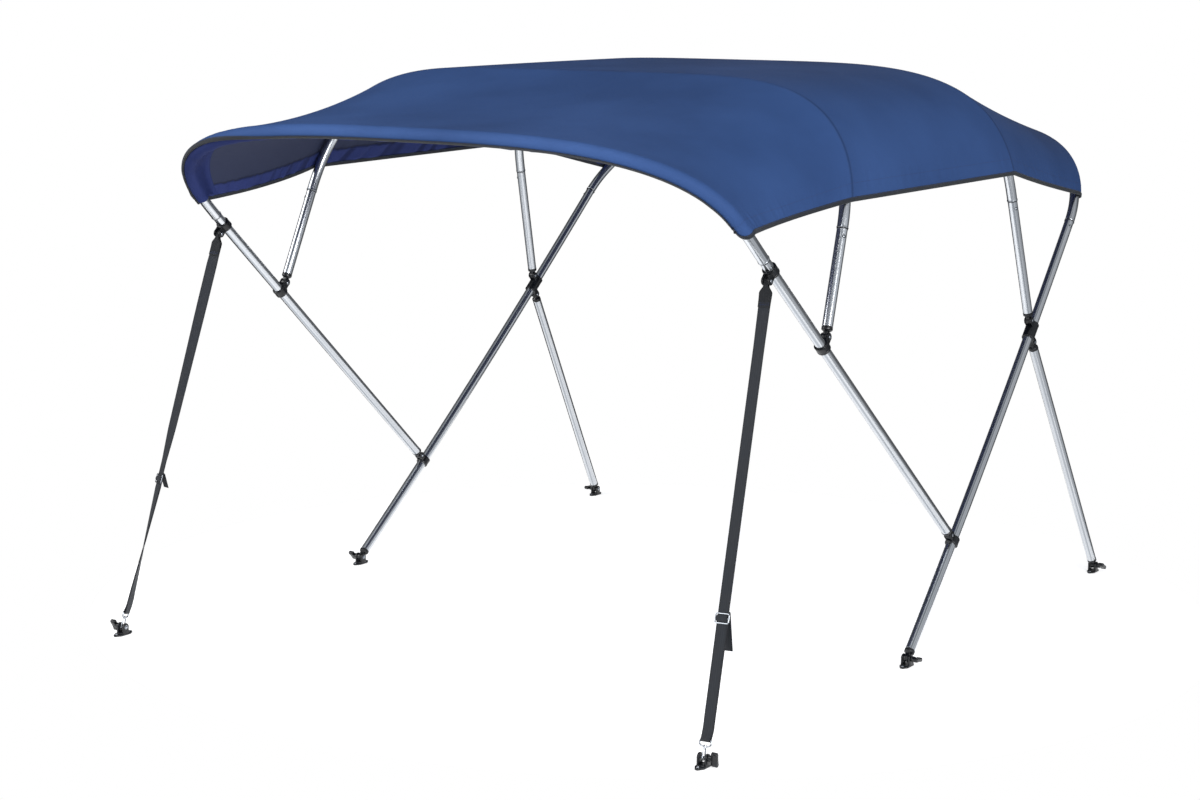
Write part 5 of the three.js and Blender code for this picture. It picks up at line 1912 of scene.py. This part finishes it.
    def buckle(self, side: Side, place: Placement, length: float) -> None:
        """Tri-glide: a rounded rectangular frame of flat wire with a bar across its middle.

        Args:
            side: the side frame.
            place: the strap's frame.
            length: distance from the pin to the bolt.
        """
        setting = self.settings[side]
        axes = place.axes()
        across, face = (way @ axes for way in setting.axes(setting.buckle_at / length))
        centre = place.put(Z_AXIS * (length - setting.buckle_at))
        r, thick = self.buckle_corner, self.buckle_wire[0]
        wide = self.buckle_wide
        round_ = circle(np.radians(np.arange(0, 360, 15) + 7.5))
        corner = np.sign(round_) * [wide - r, self.buckle_high - r] + r * round_
        loop = centre + corner[:, :1] * across + corner[:, 1:] * axes[2]
        section = circle(np.radians(np.arange(0, 360, 30))) * self.buckle_wire
        shape = Shape()
        shape.sweep(loop, np.cross(headings(loop), face), np.broadcast_to(face, loop.shape),
                    section, closed=True)
        ends = centre + np.array([[-wide], [wide]]) * across
        bar = [(0, 0), (0, 1.3), (1, thick), (2 * wide - 1, thick), (2 * wide, 1.3), (2 * wide, 0)]
        shape.rod(ends[0], ends[1], bar, 16)
        shape.build_node(f"buckle_{side.word}", self.palette.steel)

    def hook(self, side: Side, place: Placement) -> None:
        """Snap hook: a wire ring round the bolt, a swivel neck, and a flat loop for the webbing.

        Args:
            side: the side frame.
            place: the strap's frame.
        """
        axes = place.axes()
        top, foot = self.hook_height, self.hook_height - self.hook_swivel
        lowest = -(self.pin + 2 * self.gap + self.wire)
        half = self.ring_half - self.wire
        lower = half * circle(np.pi + np.pi * np.arange(5) / 4) + [0, lowest + half]
        upper = [(half * 0.95, foot * 0.45), (half * 0.45, foot - 1), (-half * 0.45, foot - 1),
                 (-half * 0.95, foot * 0.45)]
        ring = smooth_line(np.concatenate([lower, upper]), 60, closed=True)
        shape = Shape()
        ring = ring[:, :1] * Y_AXIS + ring[:, 1:] * Z_AXIS
        shape.loop_wire(place.put(ring), self.wire, axes[0])
        wide = self.loop_half - self.bar
        flat = np.array([(-wide + 5, foot), (0, foot - 0.6), (wide - 5, foot), (wide, foot + 4),
                         (wide, top - 2), (wide - 2, top), (0, top), (-wide + 2, top),
                         (-wide, top - 2), (-wide, foot + 4)])
        loop = smooth_line(flat, 90, closed=True)
        across, normal = self.settings[side].axes(1.0)
        loop = loop[:, :1] * across + loop[:, 1:] * Z_AXIS
        shape.loop_wire(place.put(loop), self.bar, normal @ axes)
        base = place.put(Z_AXIS * (foot - 4))
        shape.rod(base, base + axes[2], self.neck, 22)
        shape.build_node(f"snap_hook_{side.word}", self.palette.steel)


# ---------------------------------------------------------------- studio


@dataclass(frozen=True)
class Lamp:
    """A soft rectangular light: its name, place, the point it faces, size in metres and watts."""

    name: str
    place: Triple
    target: Triple
    size: tuple[float, float]
    power: float


LAMPS = (
    Lamp("key_light", (5.6, -3.8, 1.9), (0, 0, 1.2), (4.5, 3.0), 300),
    Lamp("left_light", (-5.5, -5.0, 3.2), (0, 0, 1.2), (3.0, 4.0), 175),
    Lamp("front_light", (-0.2, -2.6, 3.5), (0, -0.6, 1.4), (2.6, 0.8), 46),
    Lamp("back_light", (-1.5, 6.0, 3.0), (0, 0, 0.9), (4.5, 2.0), 15),
)


@dataclass
class Studio:
    """Pale floor, soft lights and the camera at the photograph's angle. Metres and degrees."""

    eye: Triple = (3.2057, -5.0424, 1.5526)
    yaw: float = 33.84
    pitch: float = -9.58
    roll: float = 0.855
    focal_pixels: float = 2241.4
    image_width: float = 1200
    sensor: float = 36
    clip_end: float = 200
    floor_radius: float = 1.5
    floor_glow: float = 0.72
    floor_drop: float = 0.0005
    floor_sides: int = 96
    tint: tuple = (0.93, 0.96, 1.0, 1)
    soft_by_height: Pairs = ((0.0, 0.6), (0.5, 0.9), (0.62, 0.72), (0.8, 0.22), (1.0, 0.08))
    soft_by_depth: Pairs = ((0.0, 1.0), (0.5, 0.7), (1.0, 0.4))
    room_by_height: Pairs = ((0.0, 0.5), (0.3, 0.8), (0.44, 0.5), (0.52, 0.95), (0.62, 0.95),
                             (0.72, 0.6), (1.0, 0.7))
    room_by_depth: Pairs = ((0.0, 0.95), (0.50, 0.9), (0.62, 0.38), (0.8, 0.16), (1.0, 0.12))
    room_by_side: Pairs = ((0.0, 0.8), (0.18, 1.0), (0.27, 0.3), (0.35, 1.0), (0.58, 1.0),
                           (0.66, 0.3), (0.74, 1.0), (1.0, 0.8))

    def build(self) -> None:
        """Sets up the camera, the world, the floor and the lights."""
        self.build_camera()
        self.build_world()
        self.build_floor()
        for lamp in LAMPS:
            self.build_light(lamp)
        bpy.context.scene.view_settings.view_transform = "Standard"

    def build_camera(self) -> None:
        """The camera: turned by yaw about Z, tipped by the pitch, then rolled."""
        data = bpy.data.cameras.new("camera")
        data.sensor_width = self.sensor
        data.lens = self.focal_pixels * self.sensor / self.image_width
        data.clip_end = self.clip_end
        camera = in_scene("camera", data)
        yaw, pitch, roll = (Matrix.Rotation(math.radians(angle), 4, axis) for angle, axis in (
            (self.yaw, "Z"), (90 + self.pitch, "X"), (self.roll, "Z")))
        camera.matrix_world = Matrix.Translation(self.eye) @ (yaw @ pitch @ roll)
        bpy.context.scene.camera = camera

    def build_world(self) -> None:
        """White to the camera; a low soft light to cloth; a pale room with dark gaps to metal."""
        world = bpy.data.worlds.new("studio")
        bpy.context.scene.world = world
        world.use_nodes = True
        world.node_tree.nodes.clear()
        tree = Tree(world.node_tree)
        where = tree.add("ShaderNodeTexCoord").outputs["Generated"]

        def grey(direction: Triple, stops: Pairs) -> Socket:
            """Grey by the share of the looked-at direction along a given one, through stops.

            Args:
                direction: unit direction.
                stops: pairs of share, from 0 to 1, and grey.

            Returns:
                The grey.
            """
            dot = tree.add("ShaderNodeVectorMath", {0: where, 1: direction},
                           operation="DOT_PRODUCT").outputs["Value"]
            share = tree.add("ShaderNodeMath", {0: dot, 1: 0.5, 2: 0.5},
                             operation="MULTIPLY_ADD").outputs[0]
            ramp = tree.add("ShaderNodeValToRGB", {0: share})
            marks = ramp.color_ramp.elements
            while len(marks) < len(stops):
                marks.new(0.5)
            for mark, (position, level) in zip(marks, stops):
                mark.position, mark.color = position, (level, level, level, 1)
            return ramp.outputs[0]

        yaw = math.radians(self.yaw)
        up, back = (0.0, 0.0, 1.0), (0.0, 1.0, 0.0)
        away, right = (-math.sin(yaw), math.cos(yaw), 0.0), (math.cos(yaw), math.sin(yaw), 0.0)
        soft = tree.times(grey(up, self.soft_by_height), grey(back, self.soft_by_depth))
        room = tree.times(grey(up, self.room_by_height), grey(away, self.room_by_depth))
        room = tree.times(room, grey(right, self.room_by_side))
        white = (1, 1, 1, 1)
        soft, room, white = (
            tree.add("ShaderNodeBackground", {0: colour, 1: strength}).outputs[0]
            for colour, strength in ((self.tint, soft), (self.tint, room), (white, 1.0)))
        path = tree.add("ShaderNodeLightPath").outputs
        mixed = tree.add("ShaderNodeMixShader", {0: path["Is Glossy Ray"], 1: soft, 2: room})
        shown = {0: path["Is Camera Ray"], 1: mixed.outputs[0], 2: white}
        shown = tree.add("ShaderNodeMixShader", shown)
        tree.add("ShaderNodeOutputWorld", {0: shown.outputs[0]})

    def build_floor(self) -> None:
        """A round pale floor, bright enough to meet the white world without a line."""
        angle = np.linspace(0, 2 * np.pi, self.floor_sides, endpoint=False)
        corners = self.floor_radius * np.stack([np.cos(angle), np.sin(angle), 0 * angle], -1)
        mesh = bpy.data.meshes.new("floor")
        mesh.from_pydata(corners.tolist(), [], [list(range(len(corners)))])
        recipe = Recipe("pale_floor")
        shade = recipe.vary(recipe.noise(recipe.place, 0.6, 2), 0.90, 0.94)
        colour = recipe.add("ShaderNodeCombineColor", {0: shade, 1: shade, 2: shade}).outputs[0]
        recipe.set(Base_Color=colour, Roughness=0.9, Specular_IOR_Level=0.1,
                   Emission_Color=(1, 1, 1, 1), Emission_Strength=self.floor_glow)
        mesh.materials.append(recipe.material)
        floor = in_scene("floor", mesh)
        floor.location.z = -self.floor_drop

    def build_light(self, lamp: Lamp) -> None:
        """One of the soft lights, turned to face its target."""
        data = bpy.data.lights.new(lamp.name, "AREA")
        data.shape = "RECTANGLE"
        data.size, data.size_y = lamp.size
        data.energy = lamp.power
        light = in_scene(lamp.name, data)
        light.location = lamp.place
        heading = Vector(lamp.target) - Vector(lamp.place)
        light.rotation_euler = heading.to_track_quat("-Z", "Y").to_euler()


def main() -> None:
    """Builds the studio and every sub-assembly in order."""
    logging.basicConfig(level=logging.INFO, format="%(name)s %(message)s")
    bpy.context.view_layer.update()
    layout, palette = Layout(), Palette()
    Studio().build()
    for assembly in (Canopy, Tubes, Fittings, DeckHinges, Straps):
        assembly(layout, palette).build()
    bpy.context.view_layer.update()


if __name__ == "__main__":
    main()
